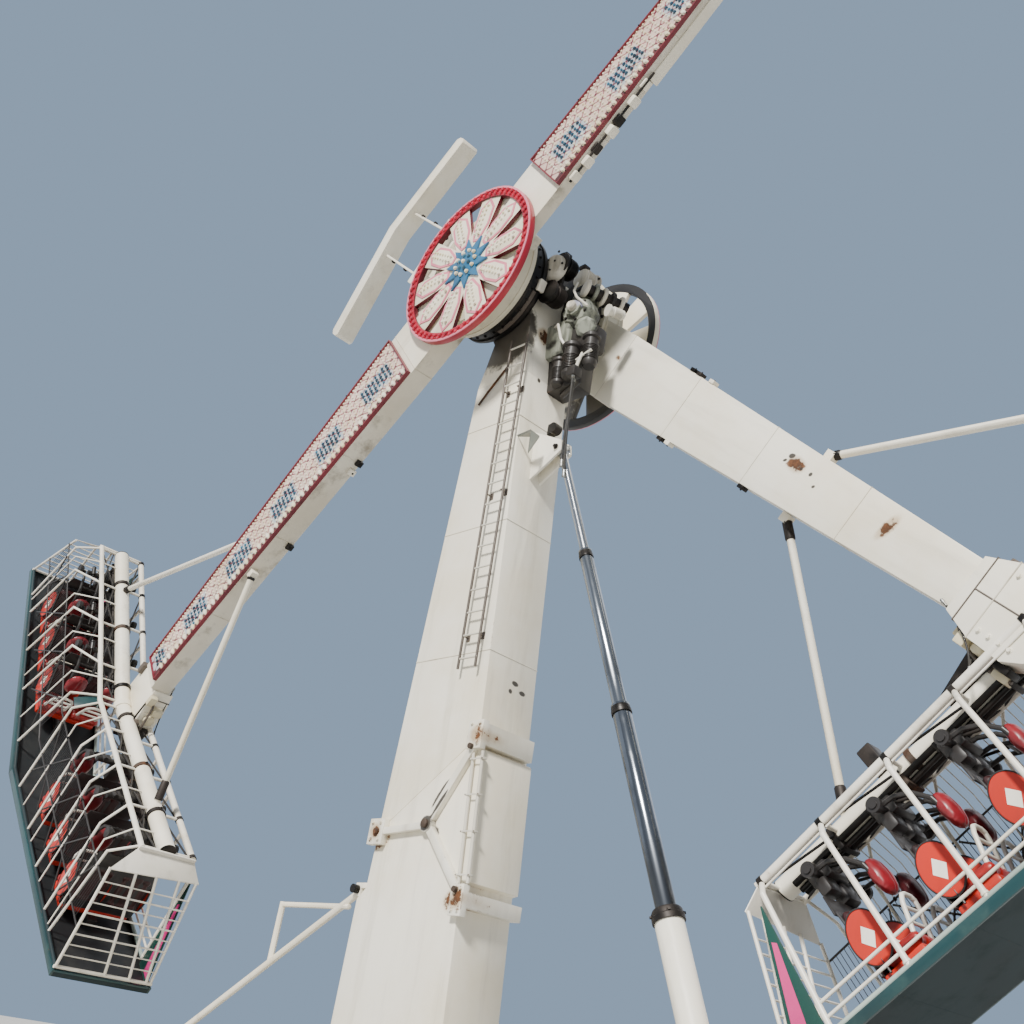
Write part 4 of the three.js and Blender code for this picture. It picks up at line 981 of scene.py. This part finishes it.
# Lengths of the dark sleeves at the struts' arm ends: clevises, and on the rear lower strut also painted shadow.
clevis_and_shadow_length = {("rear", 1): 0.26, ("rear", -1): 0.10, ("front", 1): 0.07, ("front", -1): 0.07}
for side, place in arm_place.items():
    home, body = place.inverted(), side + "_arm"
    box = Piece(side + "_end_casing", arm_white[side], weld_tone, greased_steel, fitting_cream, ladder_brown)
    box.add(shell(side + "_end_box", 0.016), home)
    for r, t, finish in ((8.24, 0.41, 1), (8.02, 0.345, 4)):
        box.add(tube([(r, -1.02, -t), (r, -0.70, -t), (r, -0.70, t), (r, -1.02, t)], 0.009, 6), finish=finish)
    box.add(tube([(8.02, -0.70, 0.0), (8.80, -0.70, 0.0)], 0.009, 6), finish=4)
    box.add(bolt(0.04), *[stand((8.3 + k * 0.12, -0.70, t), (0, 1, 0)) for k in range(4) for t in (-0.30, 0.30)])
    box.add(block((8.50, -0.98, 0.425), (8.74, -0.76, 0.50), 0.02), finish=2)
    box.add(turned([(0, 0), (0.09, 0), (0.09, 0.05), (0.05, 0.07), (0, 0.07)], 20),
            stand((8.34, -0.86, 0.42), (0, 0, 1)), finish=3)
    for r, y, t, long, wide, high, finish in end_boxes:
        box.add(block((r - long / 2, y - wide / 2, t), (r + long / 2, y + wide / 2, t + high), 0.014),
                finish=finish)
    box.add(tube([(7.95, -0.95, 0.36), (8.10, -0.95, 0.47), (8.40, -0.95, 0.55), (8.72, -0.95, 0.52)], 0.018, 8),
            finish=4)
    box.add(tube([(7.98, -1.02, 0.33), (8.30, -1.06, 0.40), (8.62, -1.06, 0.42)], 0.014, 8), finish=2)
    box.done(body, side + "_end_box", place=place)
    beam = Piece(side + "_roof_tube", arm_white[side], greased_steel, rusted_steel)
    beam.add(tube([seat(-1, 3.42, 0, 0), roof, seat(1, 3.42, 0, 0)], 0.115, 28))
    beam.add(shell(side + "_roof_beam", 0), home)
    for half in (-1, 1):
        way, hand = seat(half, 1, 0, 0) - roof, halves[half > 0]
        for s in (0.36, 1.62, 2.66):
            beam.add(turned([(0.115, -0.035), (0.132, -0.03), (0.132, 0.03), (0.115, 0.035)], ring=True),
                     stand(seat(half, s, 0, 0), way), finish=1 + (s == 1.62))
            up = seat(half, s, -1, 0) - seat(half, s, 0, 0)
            beam.add(bolt(0.03), stand(seat(half, s, -0.132, 0), up), finish=1)
        beam.add(turned([(0, 0), (0.118, 0), (0.118, 0.012), (0.07, 0.02), (0, 0.02)]),
                 stand(seat(half, 3.415, 0, 0), way), finish=1)
        for y, w, radius, first in roof_pipes:
            beam.add(tube([(first, y, w), (3.25, y, w)], radius), hand, finish=1)
        for k in range(7):
            s = 0.50 + 0.43 * k
            beam.add(block((s - 0.03, -0.15, 0.07), (s + 0.03, 0.15, 0.195), 0.012), hand, finish=1 + (k == 3))
    if side == "rear":
        beam.add(plate([(0.34, -0.10, -0.115), (1.04, -0.10, -0.115), (1.04, -0.10, -0.24), (0.44, -0.10, -0.40),
                        (0.34, -0.10, -0.36)], (0, 0.20, 0), 0.02), halves[1], finish=1)
        beam.add(turned([(0, 0), (0.055, 0), (0.055, 0.10), (0.04, 0.12), (0, 0.12)], 16),
                 *[halves[1] @ outward(s, -0.09, -0.25) for s in (0.45, 0.62, 0.86)], finish=1)
        beam.add(block((1.83, -0.11, -0.43), (1.99, 0.11, -0.11), 0.015), halves[1], finish=1)
    beam.done(body, side + "_roof_beam", place=place)
    for name, half in (("upper_strut", -1), ("lower_strut", 1)):
        strut = Piece(f"{side}_{name}_tube", arm_white[side], greased_steel)
        strut.add(shell(f"{side}_{name}", 0.004), home)
        low = Vector((5.386, -1.01, half * (half_height(5.386) + 0.0605)))
        high = seat(half, 2.489, -0.08, 0)
        run = (high - low).normalized()
        for start, way, long in ((low, run, clevis_and_shadow_length[side, half]), (high, -run, 0.30 if half > 0 else 0.16)):
            strut.add(turned([(0.044, 0.05), (0.058, 0.05), (0.058, long), (0.048, long + 0.02),
                              (0.044, long + 0.02)], 20, ring=True), stand(start, way), finish=1)
        strut.done(body, f"{side}_{name}", place=place)


# Gondola cages: round steel tube, welded. Rails run the whole length at roof and sill, shaped ribs
# close the far side over a grille of fine bars with dark crosses, and posts stand on the near side.
def rail(ends, y, reach, radius, sides=12):
    """A tube along the whole gondola at a depth that changes from the bend to the end."""
    far = depth(ends, reach)
    middle = seat(1, -ends[0] * math.tan(bend), ends[0], y)
    return tube([seat(-1, reach, far, y), middle, seat(1, reach, far, y)], radius, sides)


def tub_paint(name, paint, aged, scrape, shine=0.3):
    """Teal enamel on sheet steel under dust, chipped along its edges down to brown primer."""
    f = Finish(name, Coat_Weight=shine, Coat_Roughness=0.2)
    cloud = f.noise(f.here, 0.9, 5).between(0.35, 0.65)
    dust = f.noise(f.here, 2.2, 7, 0.65).between(0.48, 0.75)
    chip = (f.noise(f.here, 11, 8, 0.7) * 0.8 + f.edges(0.015) * 0.14).between(0.60, 0.64)
    tone = f.mix(dust * 0.5, f.mix(cloud, tint(paint), tint(aged)), tint(scrape))
    return f.paint(f.mix(chip * 0.7, tone, tint("5a3a25")), dust * 0.15 + chip * 0.2 + 0.68 - shine,
                   chip * -0.5 + dust * 0.2, 0.002)


teal = tub_paint("tub_teal", "113c3f", "0d2f32", "33504b")
# Near-black teal: painted shade on the tub's underside, also used for the far sill rail.
dark_teal = tub_paint("tub_underside", "0c262b", "081c20", "1a2827", 0)
# Black for the floor's mat and for painted shade inside the tub.
mat_and_shade_black = tub_paint("tub_floor_mat_and_shade", "1c2022", "141618", "35332f", 0.1)
cage_white = {side: weathered(side + "_cage_white", turn, (2.0, 0.3, 0.3), 0.4, 0.7, edge=0, tones="efeade d8d0bc")
              for side, turn in arm_turns.items()}
mesh_grey = weathered("grille_grey", dirt=0.5, rust=0.5, edge=0, tones="74736f 5b5a55 33312d")
sill_grey = weathered("sill_grey", dirt=0.5, rust=0.4, edge=0, tones="a9b8b0 8b9c94 4d564f")
cage_dark = weathered("cage_dark", dirt=0.5, rust=0.5, edge=0, tones="2a2726 1f1c1a 15130f",
                      gloss=0.4)
sill, tread, keel = (1.66, 1.52), (1.72, 1.58), (1.80, 1.64)
last, fold, far_side, near_side = 4.096, 0.15391, -0.80, 0.53
depth = lambda ends, s: ends[0] + (ends[1] - ends[0]) * (s + ends[0] * fold) / (last + ends[0] * fold)
wall_end = lambda w: 3.68 + (w - 0.27) * 0.3008
frame_line = lambda w: 3.412 + (w - 0.19) * 0.115
ribs = ((0.08, 0.15, 0.25), (0.75, 1.12, 1.29), (1.65, 1.97, 2.13), (2.55, 2.86, 3.01), (3.42, 3.42, 3.42))
thin_ribs = ((0.45, 0.59, 0.72), (1.31, 1.43, 1.58), (2.17, 2.29, 2.45), (3.06, 3.19, 3.3))
along = Vector((1, 0, 0))
for side, place in arm_place.items():
    outer = Piece(side + "_outer_rails", cage_white[side], cage_dark, greased_steel, dark_teal, teal, mesh_grey)
    for ends, y, reach, radius, sides, finish in (
            ((0, 0), -0.38, 3.46, 0.038, 18, 0), ((0.42, 0.42), -0.757, wall_end(0.42), 0.012, 10, 1),
            ((1.02, 1.02), -0.777, wall_end(1.02), 0.012, 10, 1), (sill, far_side, 4.05, 0.024, 14, 3)):
        outer.add(rail(ends, y, reach, radius, sides), finish=finish)
    for radius, leans in ((0.018, ribs), (0.011, thin_ribs)):
        for top, middle, foot in leans:
            outer.add(tube([(top, -0.1155, 0), (top, -0.38, 0), (middle, -0.75, 0.20),
                            (foot, far_side, depth(sill, foot))], radius, 12), *halves)
    # On the front gondola these grille bars are near-black as painted shade; on the rear they are grey.
    for s in (0.06 + k * 0.054 for k in range(68)):
        outer.add(tube([(s, -0.752, 0.42), (s + 0.03, -0.772, 1.02)], 0.0045, 5), *halves,
                  finish=5 if side == "rear" else 1)
    for s in (0.30 + k * 0.088 for k in range(34 * (side == "rear"))):
        outer.add(tube([(s, -0.40, 0.03), (s + 0.03, -0.742, 0.215), (s + 0.04, -0.752, 0.42)], 0.006, 6),
                  *halves)
    for near, far in zip(ribs, ribs[1:]):
        for a, b in ((0.44, 1.36), (1.36, 0.44)):
            outer.add(tube([(near[1] + 0.05, -0.775, a), (far[1], -0.775, b)], 0.012, 8), *halves, finish=1)
        for a, b in ((-0.14, -0.37), (-0.37, -0.14)):
            outer.add(tube([(near[0], a, 0.02), (far[0], b, 0.02)], 0.012, 8), *halves, finish=1)
    for y0, y1 in ((-0.72, far_side), (-0.36, -0.13), (-0.07, 0.22), (0.26, 0.47), (0.51, near_side)):
        share = (y0 + 0.72) / 1.23
        outer.add(tube([(3.672 - 0.036 * share, y0, 0.25 - 0.055 * share), (4.056, y1, 1.52)], 0.020, 12),
                  *halves)
    outer.add(tube([(4.056, -0.824, 1.52), (4.056, 0.554, 1.52)], 0.022, 12), *halves)
    for k in range(9):
        w = 0.425 + 0.135 * k
        share = (w - 0.25) / 1.27
        outer.add(tube([(wall_end(w), -0.72 - 0.08 * share, w), (wall_end(w), 0.51 + 0.02 * share, w)],
                       0.012 if k in (1, 3, 5) else 0.009, 8), *halves)
    outer.add(turned([(0.012, -0.012), (0.022, -0.012), (0.022, 0.012), (0.012, 0.012)], 16, ring=True),
              *[m @ stand((s, -0.757, 0.42), along) for s in (0.63, 1.35, 2.1, 2.8) for m in halves], finish=2)
    outer.add(plate([(3.445, -0.40, 0), (3.445, 0.40, 0), (3.65, 0.548, 0.19), (3.69, -0.74, 0.255)],
                    (0, 0, 0.014), 0.004), *halves)
    outer.add(block((3.441, -0.42, -0.024), (3.476, 0.42, 0.024), 0.008), *halves)
    outer.add(plate([(0.10, -0.40, 0.03), (0.10, -0.70, 0.185), (-0.10, -0.70, 0.185), (-0.10, -0.40, 0.03)],
                    (0, 0.005, 0.010), 0.002),
              Matrix(((0, 0, 1, roof.x), (0, 1, 0, roof.y), (1, 0, 0, 0), (0, 0, 0, 1))), finish=4)
    outer.done(side + "_arm", side + "_outer_cage", place=place)

    inner = Piece(side + "_inner_rails", cage_white[side], cage_dark, greased_steel, sill_grey)
    for ends, y, reach, radius, sides, finish in (
            ((0, 0), 0.38, 3.44, 0.046, 20, 0), ((1.37, 1.27), near_side, frame_line(1.27), 0.016, 12, 0),
            ((1.52, 1.40), near_side, frame_line(1.40), 0.016, 12, 0),
            (sill, near_side, frame_line(1.52), 0.026, 14, 3)):
        inner.add(rail(ends, y, reach, radius, sides), finish=finish)
    for top in (0.01, 0.875, 1.74, 2.605, 3.412):
        foot = top + 0.07 if top < 3 else frame_line(1.52)
        low = depth(sill, foot)
        inner.add(tube([(top, 0.38, 0), (top, near_side, 0.19), (foot, near_side, low)], 0.028, 16), *halves)
        inner.add(tube([(top, 0.1155, 0), (top, 0.38, 0)], 0.022, 12), *halves)
        inner.add(turned([(0.046, -0.03), (0.056, -0.025), (0.056, 0.025), (0.046, 0.03)], 20, ring=True),
                  *[m @ stand((top, 0.38, 0), along) for m in halves], finish=2)
        inner.add(turned([(0.028, 0), (0.036, 0), (0.036, 0.02), (0.028, 0.03)], 16, ring=True),
                  *[m @ stand((foot, near_side, low - 0.024), (0, 0, -1)) for m in halves])
    for s in (0.01, 0.875, 1.74, 2.605):
        inner.add(tube([(s + 0.04, 0.13, 0.03), (s + 0.80, 0.36, 0.03)], 0.014, 8), *halves, finish=1)
        inner.add(tube([(s + 0.03, 0.42, 0.09), (s + 0.83, 0.42, 0.09)], 0.012, 8), *halves)
    inner.done(side + "_arm", side + "_inner_cage", place=place)


# Floor tubs: folded sheet steel in teal with a pale rolled top edge, the raking cheeks at the ends in
# dark green with a magenta stripe. Underneath, folded cross ribs show through years of spray and dust
# on near-black teal that is painted shade; inside, floor and walls are black with painted shade.
magenta = weathered("cheek_magenta", dirt=0.3, rust=0.2, tones="d83f86 b32e6c 5d2a40", gloss=0.35)
cheek_green = weathered("cheek_green", dirt=0.4, rust=0.3, tones="16443c 0f332e 0d1c19",
                        gloss=0.35)


def inner_dark(middle, normal):
    """Black on the upper side of the floor, as its mat and as painted shade, and black painted shade on the inner
    sides of the walls.
    """
    return 5 if (normal.z < -0.5 if finish else normal.y * (middle.y + 0.13) < -0.05) else finish


for side, place in arm_place.items():
    tub = Piece(side + "_floor_pan", teal, cage_white[side], magenta, cheek_green, dark_teal, mat_and_shade_black)
    for upper, y0, y1, finish in ((tread, far_side, 0.535, 4), ([w + 0.0278 for w in sill], -0.83, -0.795, 0),
                                  ([w + 0.030 for w in sill], near_side, 0.565, 0)):
        start, stop = [(-ends[0] * math.tan(bend), ends[0]) for ends in (upper, keel)]
        wall = plate([(s, y0, w) for s, w in (start, (last, upper[1]), (last, keel[1]), stop)],
                     (0, y1 - y0, 0), 0 if finish else 0.004)
        tub.put(painted(wall, inner_dark), *halves)
    tub.add(block((4.062, -0.82, 1.552), (4.092, 0.555, 1.636), 0.004), *halves)
    for y in (-0.812, 0.5475):
        tub.add(rail([w + 0.033 for w in sill], y, 4.05, 0.013, 8))
    for s in (0.5, 1.17, 2.035, 2.9, 3.6):
        low = depth(keel, s) - 0.006
        tub.add(tube([(s, far_side, low), (s, 0.54, low)], 0.008, 6), *halves, finish=4)
    for thick, corners in ((0.014, ((3.492, 0.255), (3.505, 0.25), (4.023, 1.56), (3.609, 1.56))),
                           (0.04, ((3.609, 1.56), (4.023, 1.56), (4.05, 1.636), (3.616, 1.636)))):
        tub.add(plate([(s, 0.508, w) for s, w in corners], (0, thick, 0)), *halves, finish=3)
    for y in (0.5215, 0.5065):
        stripe = ((3.56, 0.62), (3.60, 0.58), (3.90, 1.36), (3.94, 1.55), (3.80, 1.55), (3.72, 1.28))
        tub.add(plate([(s, y, w) for s, w in stripe], (0, 0.002, 0), 0), *halves, finish=2)
    tub.done(side + "_arm", side + "_floor_tub", place=place)


# Seats: moulded shells on a long rail, each pair with oval side discs in red and a white arched
# hoop with cross bars in front. Cushions of red and dark vinyl over foam, stitched into channels.
def vinyl(name, code, dark):
    """Vinyl over foam, grained and creased, faded where the sun lies on it."""
    f = Finish(name, Coat_Weight=0.25, Coat_Roughness=0.3)
    grain, crease = f.noise(f.here, 130, 4, 0.6), f.noise(f.here, 9, 5, 0.6)
    fade = f.noise(f.here, 1.7, 4).between(0.35, 0.68)
    tone = f.mix(crease.between(0.60, 0.75) * 0.4, f.mix(fade, tint(code), tint(dark)), tint("3a1513"))
    return f.paint(tone, grain * 0.12 + fade * 0.15 + 0.27, grain * 0.3 + crease * 0.7, 0.004)


def stuffed(low, high, round_off):
    """A foam block between two corners, crowned on its faces and pulled in between its corners."""
    low, high = Vector(low), Vector(high)
    bm = bmesh.new()
    bmesh.ops.create_cube(bm, size=2)
    bmesh.ops.subdivide_edges(bm, edges=bm.edges, cuts=5, use_grid_fill=True)
    middle, half = (low + high) / 2, (high - low) / 2
    drawn_in = lambda a, b: math.sqrt(max(0, 1 - round_off * (a * a + b * b) + round_off / 4 * a * a * b * b))
    for corner in bm.verts:
        x, y, z = corner.co
        corner.co = middle + Vector((x * drawn_in(y, z) * half.x, y * drawn_in(x, z) * half.y,
                                     z * drawn_in(y, x) * half.z))
    bmesh.ops.subdivide_edges(bm, edges=bm.edges, cuts=1, use_grid_fill=True, smooth=1.0)
    bmesh.ops.recalc_face_normals(bm, faces=bm.faces)
    return bm


def baked(thing):
    """The mesh that an object's modifiers make of it."""
    return bpy.data.meshes.new_from_object(thing.evaluated_get(bpy.context.evaluated_depsgraph_get()))


def sewn(name, low, high, round_off, lines):
    """A stuffed block swollen by a cloth simulation, then sewn down along lines across its Y axis."""
    swell_limit, stitch_deep, stitch_wide, steps = 0.014, 0.010, 0.013, 20
    drawn = bpy.data.meshes.new(name)
    made = stuffed(low, high, round_off)
    made.to_mesh(drawn)
    made.free()
    pad = bpy.data.objects.new(name, drawn)
    bpy.context.scene.collection.objects.link(pad)
    remesh = pad.modifiers.new("even", "REMESH")
    remesh.mode, remesh.voxel_size = "VOXEL", 0.026
    pad.data = baked(pad)
    pad.modifiers.clear()
    start = [corner.co.copy() for corner in pad.data.vertices]
    cloth = pad.modifiers.new("swell", "CLOTH")
    cloth.settings.use_pressure, cloth.settings.uniform_pressure_force = True, 4
    cloth.settings.tension_stiffness = cloth.settings.compression_stiffness = 25
    cloth.settings.effector_weights.gravity = 0
    for step in range(1, steps + 1):
        bpy.context.scene.frame_set(step)
    swollen = baked(pad)
    pad.modifiers.clear()
    pad.data = swollen
    bpy.context.scene.frame_set(1)
    for corner, was in zip(swollen.vertices, start):
        move = corner.co - was
        corner.co = was + move * min(1, swell_limit / max(move.length, 1e-6))
    pad.modifiers.new("smooth", "SUBSURF").levels = 1
    finished = baked(pad)
    bpy.data.objects.remove(pad)
    bm = bmesh.new()
    bm.from_mesh(finished)
    middle = (Vector(low) + Vector(high)) / 2
    thin = min(range(3), key=lambda k: high[k] - low[k])
    for corner in bm.verts:
        for line in lines:
            dip = stitch_deep * math.exp(-((corner.co.y - middle.y - line) / stitch_wide) ** 2)
            corner.co[thin] += math.copysign(dip, middle[thin] - corner.co[thin])
    bmesh.ops.recalc_face_normals(bm, faces=bm.faces)
    return bm


soft = {}
for kind, covering, low, high, round_off, lines in (
        ("seat", ("seat_vinyl", "a9231f", "741618"),
         (-0.415, -0.265, 1.292), (0.0, 0.265, 1.398), 0.20, (-0.09, 0.09)),
        ("back", ("back_vinyl", "3a1214", "24100f"),
         (-0.004, -0.265, 0.712), (0.078, 0.265, 1.36), 0.20, (-0.09, 0.09)),
        ("chest", ("restraint_vinyl", "8e2029", "5e141c"),
         (-0.46, -0.165, 0.45), (-0.31, 0.165, 0.85), 0.42, (0.0,))):
    form = sewn(kind + "_form", low, high, round_off, lines)
    soft[kind] = bpy.data.meshes.new(kind), vinyl(*covering)
    for face in form.faces:
        face.smooth = True
    form.to_mesh(soft[kind][0])
    form.free()
disc_red = weathered("side_disc_red", dirt=0.3, rust=0.2, tones="c42f20 9d261a 5a221b", gloss=0.3)
disc_white = weathered("disc_diamond_white", dirt=0.3, rust=0.1, tones="f5f1e6 e3dac4", gloss=0.3)
seat_shell = weathered("seat_shell_black", dirt=0.4, rust=0.2, edge=0, tones="2c2b2c 201f20 4a4239", gloss=0.45)
disc_form = [(0, -0.010), (0.25, -0.010), (0.259, -0.0085), (0.265, -0.004), (0.265, 0.004), (0.259, 0.0085),
             (0.25, 0.010), (0, 0.010)]
disc_edge = [(0.261, -0.013), (0.277, -0.009), (0.277, 0.009), (0.261, 0.013)]
disc_diamond = [(0, -0.0125), (0.115, -0.0125), (0.115, 0.0125), (0, 0.0125)]
half_arch = ((0.34, 0.11, 1.33), (0.435, 0.125, 1.02), (0.457, 0.165, 0.95), (0.462, 0.225, 0.928))
rows, cushions, cushion_middle = (2.9, 2.035, 1.17), (-0.69, -0.135), 0.275
lap_axis = 0.235
for side in arm_turns:
    for half, level in ((-1, "upper"), (1, "lower")):
        stem, placed = f"{side}_{level}", arm_place[side] @ half_frame(half)
        bench = Piece(stem + "_benches", seat_shell, cage_white[side], disc_red, disc_white, cage_dark,
                      greased_steel)
        bench.add(plate([(0.75, -0.21, 1.50), (3.08, -0.21, 1.50), (3.08, -0.21, depth(tread, 3.08) - 0.0003),
                         (0.75, -0.21, depth(tread, 0.75) - 0.0003)], (0, 0.14, 0), 0.008), finish=4)
        for s in rows:
            bench.add(block((s - 0.38, -0.64, 1.405), (s + 0.08, 0.36, 1.505), 0.03), finish=2)
            bench.add(block((s + 0.062, -0.672, 0.715), (s + 0.09, 0.392, 1.42), 0.03))
            for y in (-0.704, -0.148, 0.405):
                oval = (Matrix.Translation((s - 0.04, y, 1.10)) @ Matrix.Diagonal((0.68, 1, 1, 1))
                        @ Matrix.Rotation(math.pi / 2, 4, "X"))
                bench.add(turned(disc_form, 40), oval, finish=2)
                bench.add(turned(disc_edge, 40, ring=True), oval, finish=4)
                bench.add(turned(disc_diamond, 4), oval, finish=3)
                bench.add(tube([(s - 0.02, y, 1.31), (s - 0.02, y, 1.45)], 0.012, 8), finish=4)
            for y0 in cushions:
                arch = [(s - back, y0 + y, w) for back, y, w in half_arch]
                arch += [(s - back, y0 + 2 * cushion_middle - y, w) for back, y, w in half_arch[::-1]]
                bench.add(tube(arch, 0.022, 12), finish=1)
                for w in (1.06, 1.19):
                    reach = s - 0.34 - 0.095 * (1.33 - w) / 0.31
                    bench.add(tube([(reach, y0 + 0.12, w), (reach, y0 + 0.43, w)], 0.017), finish=1)
                bench.add(turned([(0, 0), (0.032, 0), (0.032, 0.03), (0.022, 0.036), (0, 0.036)], 16),
                          *[stand((s - 0.335, y0 + y - 0.018, 1.345), (0, 1, 0)) for y in (0.11, 0.44)],
                          finish=5)
        bench.done(side + "_arm", stem + "_seats", place=placed)
        yokes = Piece(stem + "_restraint_arms", cage_dark, greased_steel, cage_white[side])
        for s in rows:
            for low, high, rounding in (((-0.05, -0.20, 0.12), (0.20, 0.17, 0.30), 0.03),
                                        ((0.02, -0.27, 0.28), (0.17, -0.03, 0.50), 0.04),
                                        ((0.02, 0.02, 0.28), (0.16, 0.24, 0.46), 0.04)):
                yokes.add(block(low, high, rounding), Matrix.Translation((s, 0, 0)))
            yokes.add(tube([(s + 0.07, -0.50, lap_axis), (s + 0.07, 0.40, lap_axis)], 0.042, 16))
            yokes.add(plate([(s + 0.105, y, w) for y, w in ((-0.60, 0.50), (0.33, 0.50), (0.36, 0.72),
                                                            (-0.64, 0.72))], (0.02, 0, 0), 0.008))
            for y0 in cushions:
                middle = y0 + cushion_middle
                for y in (y0 + 0.135, y0 + 0.415):
                    drawn_in = middle + (y - middle) * 0.7
                    yokes.add(tube([(s + 0.07, y, lap_axis), (s - 0.10, y, 0.26), (s - 0.25, y, 0.36),
                                    (s - 0.355, y, 0.52), (s - 0.38, drawn_in, 0.74)], 0.024, 12))
                yokes.add(turned([(0, 0), (0.075, 0), (0.075, 0.05), (0.06, 0.07), (0, 0.07)], 20),
                          stand((s + 0.07, y0 + 0.03, lap_axis), (0, 1, 0)),
                          stand((s + 0.07, y0 + 0.52, lap_axis), (0, -1, 0)))
                yokes.add(tube([(s + 0.17, middle, 0.17), (s + 0.02, middle, 0.20)], 0.034, 14))
                yokes.add(tube([(s + 0.02, middle, 0.20), (s - 0.20, middle, 0.31)], 0.016), finish=1)
                yokes.add(tube([(s - 0.22, y0 + 0.135, 0.34), (s - 0.22, y0 + 0.415, 0.34)], 0.018))
        yokes.done(side + "_arm", slot=stem + "_seats", place=placed)
        for row, s in enumerate(rows):
            for y0, hand in zip(cushions, ("outer", "inner")):
                for kind, (drawn, covering) in soft.items():
                    form = drawn.copy()
                    form.name = f"{stem}_row_{row + 1}_{hand}_{kind}_cushion"
                    form.transform(placed @ Matrix.Translation((s, y0 + cushion_middle, 0)))
                    if placed.determinant() < 0:
                        form.flip_normals()
                    form.materials.append(covering)
                    cushion = bpy.data.objects.new(form.name, form)
                    bpy.context.scene.collection.objects.link(cushion)
                    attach(cushion, side + "_arm")
for drawn, covering in soft.values():
    bpy.data.meshes.remove(drawn)
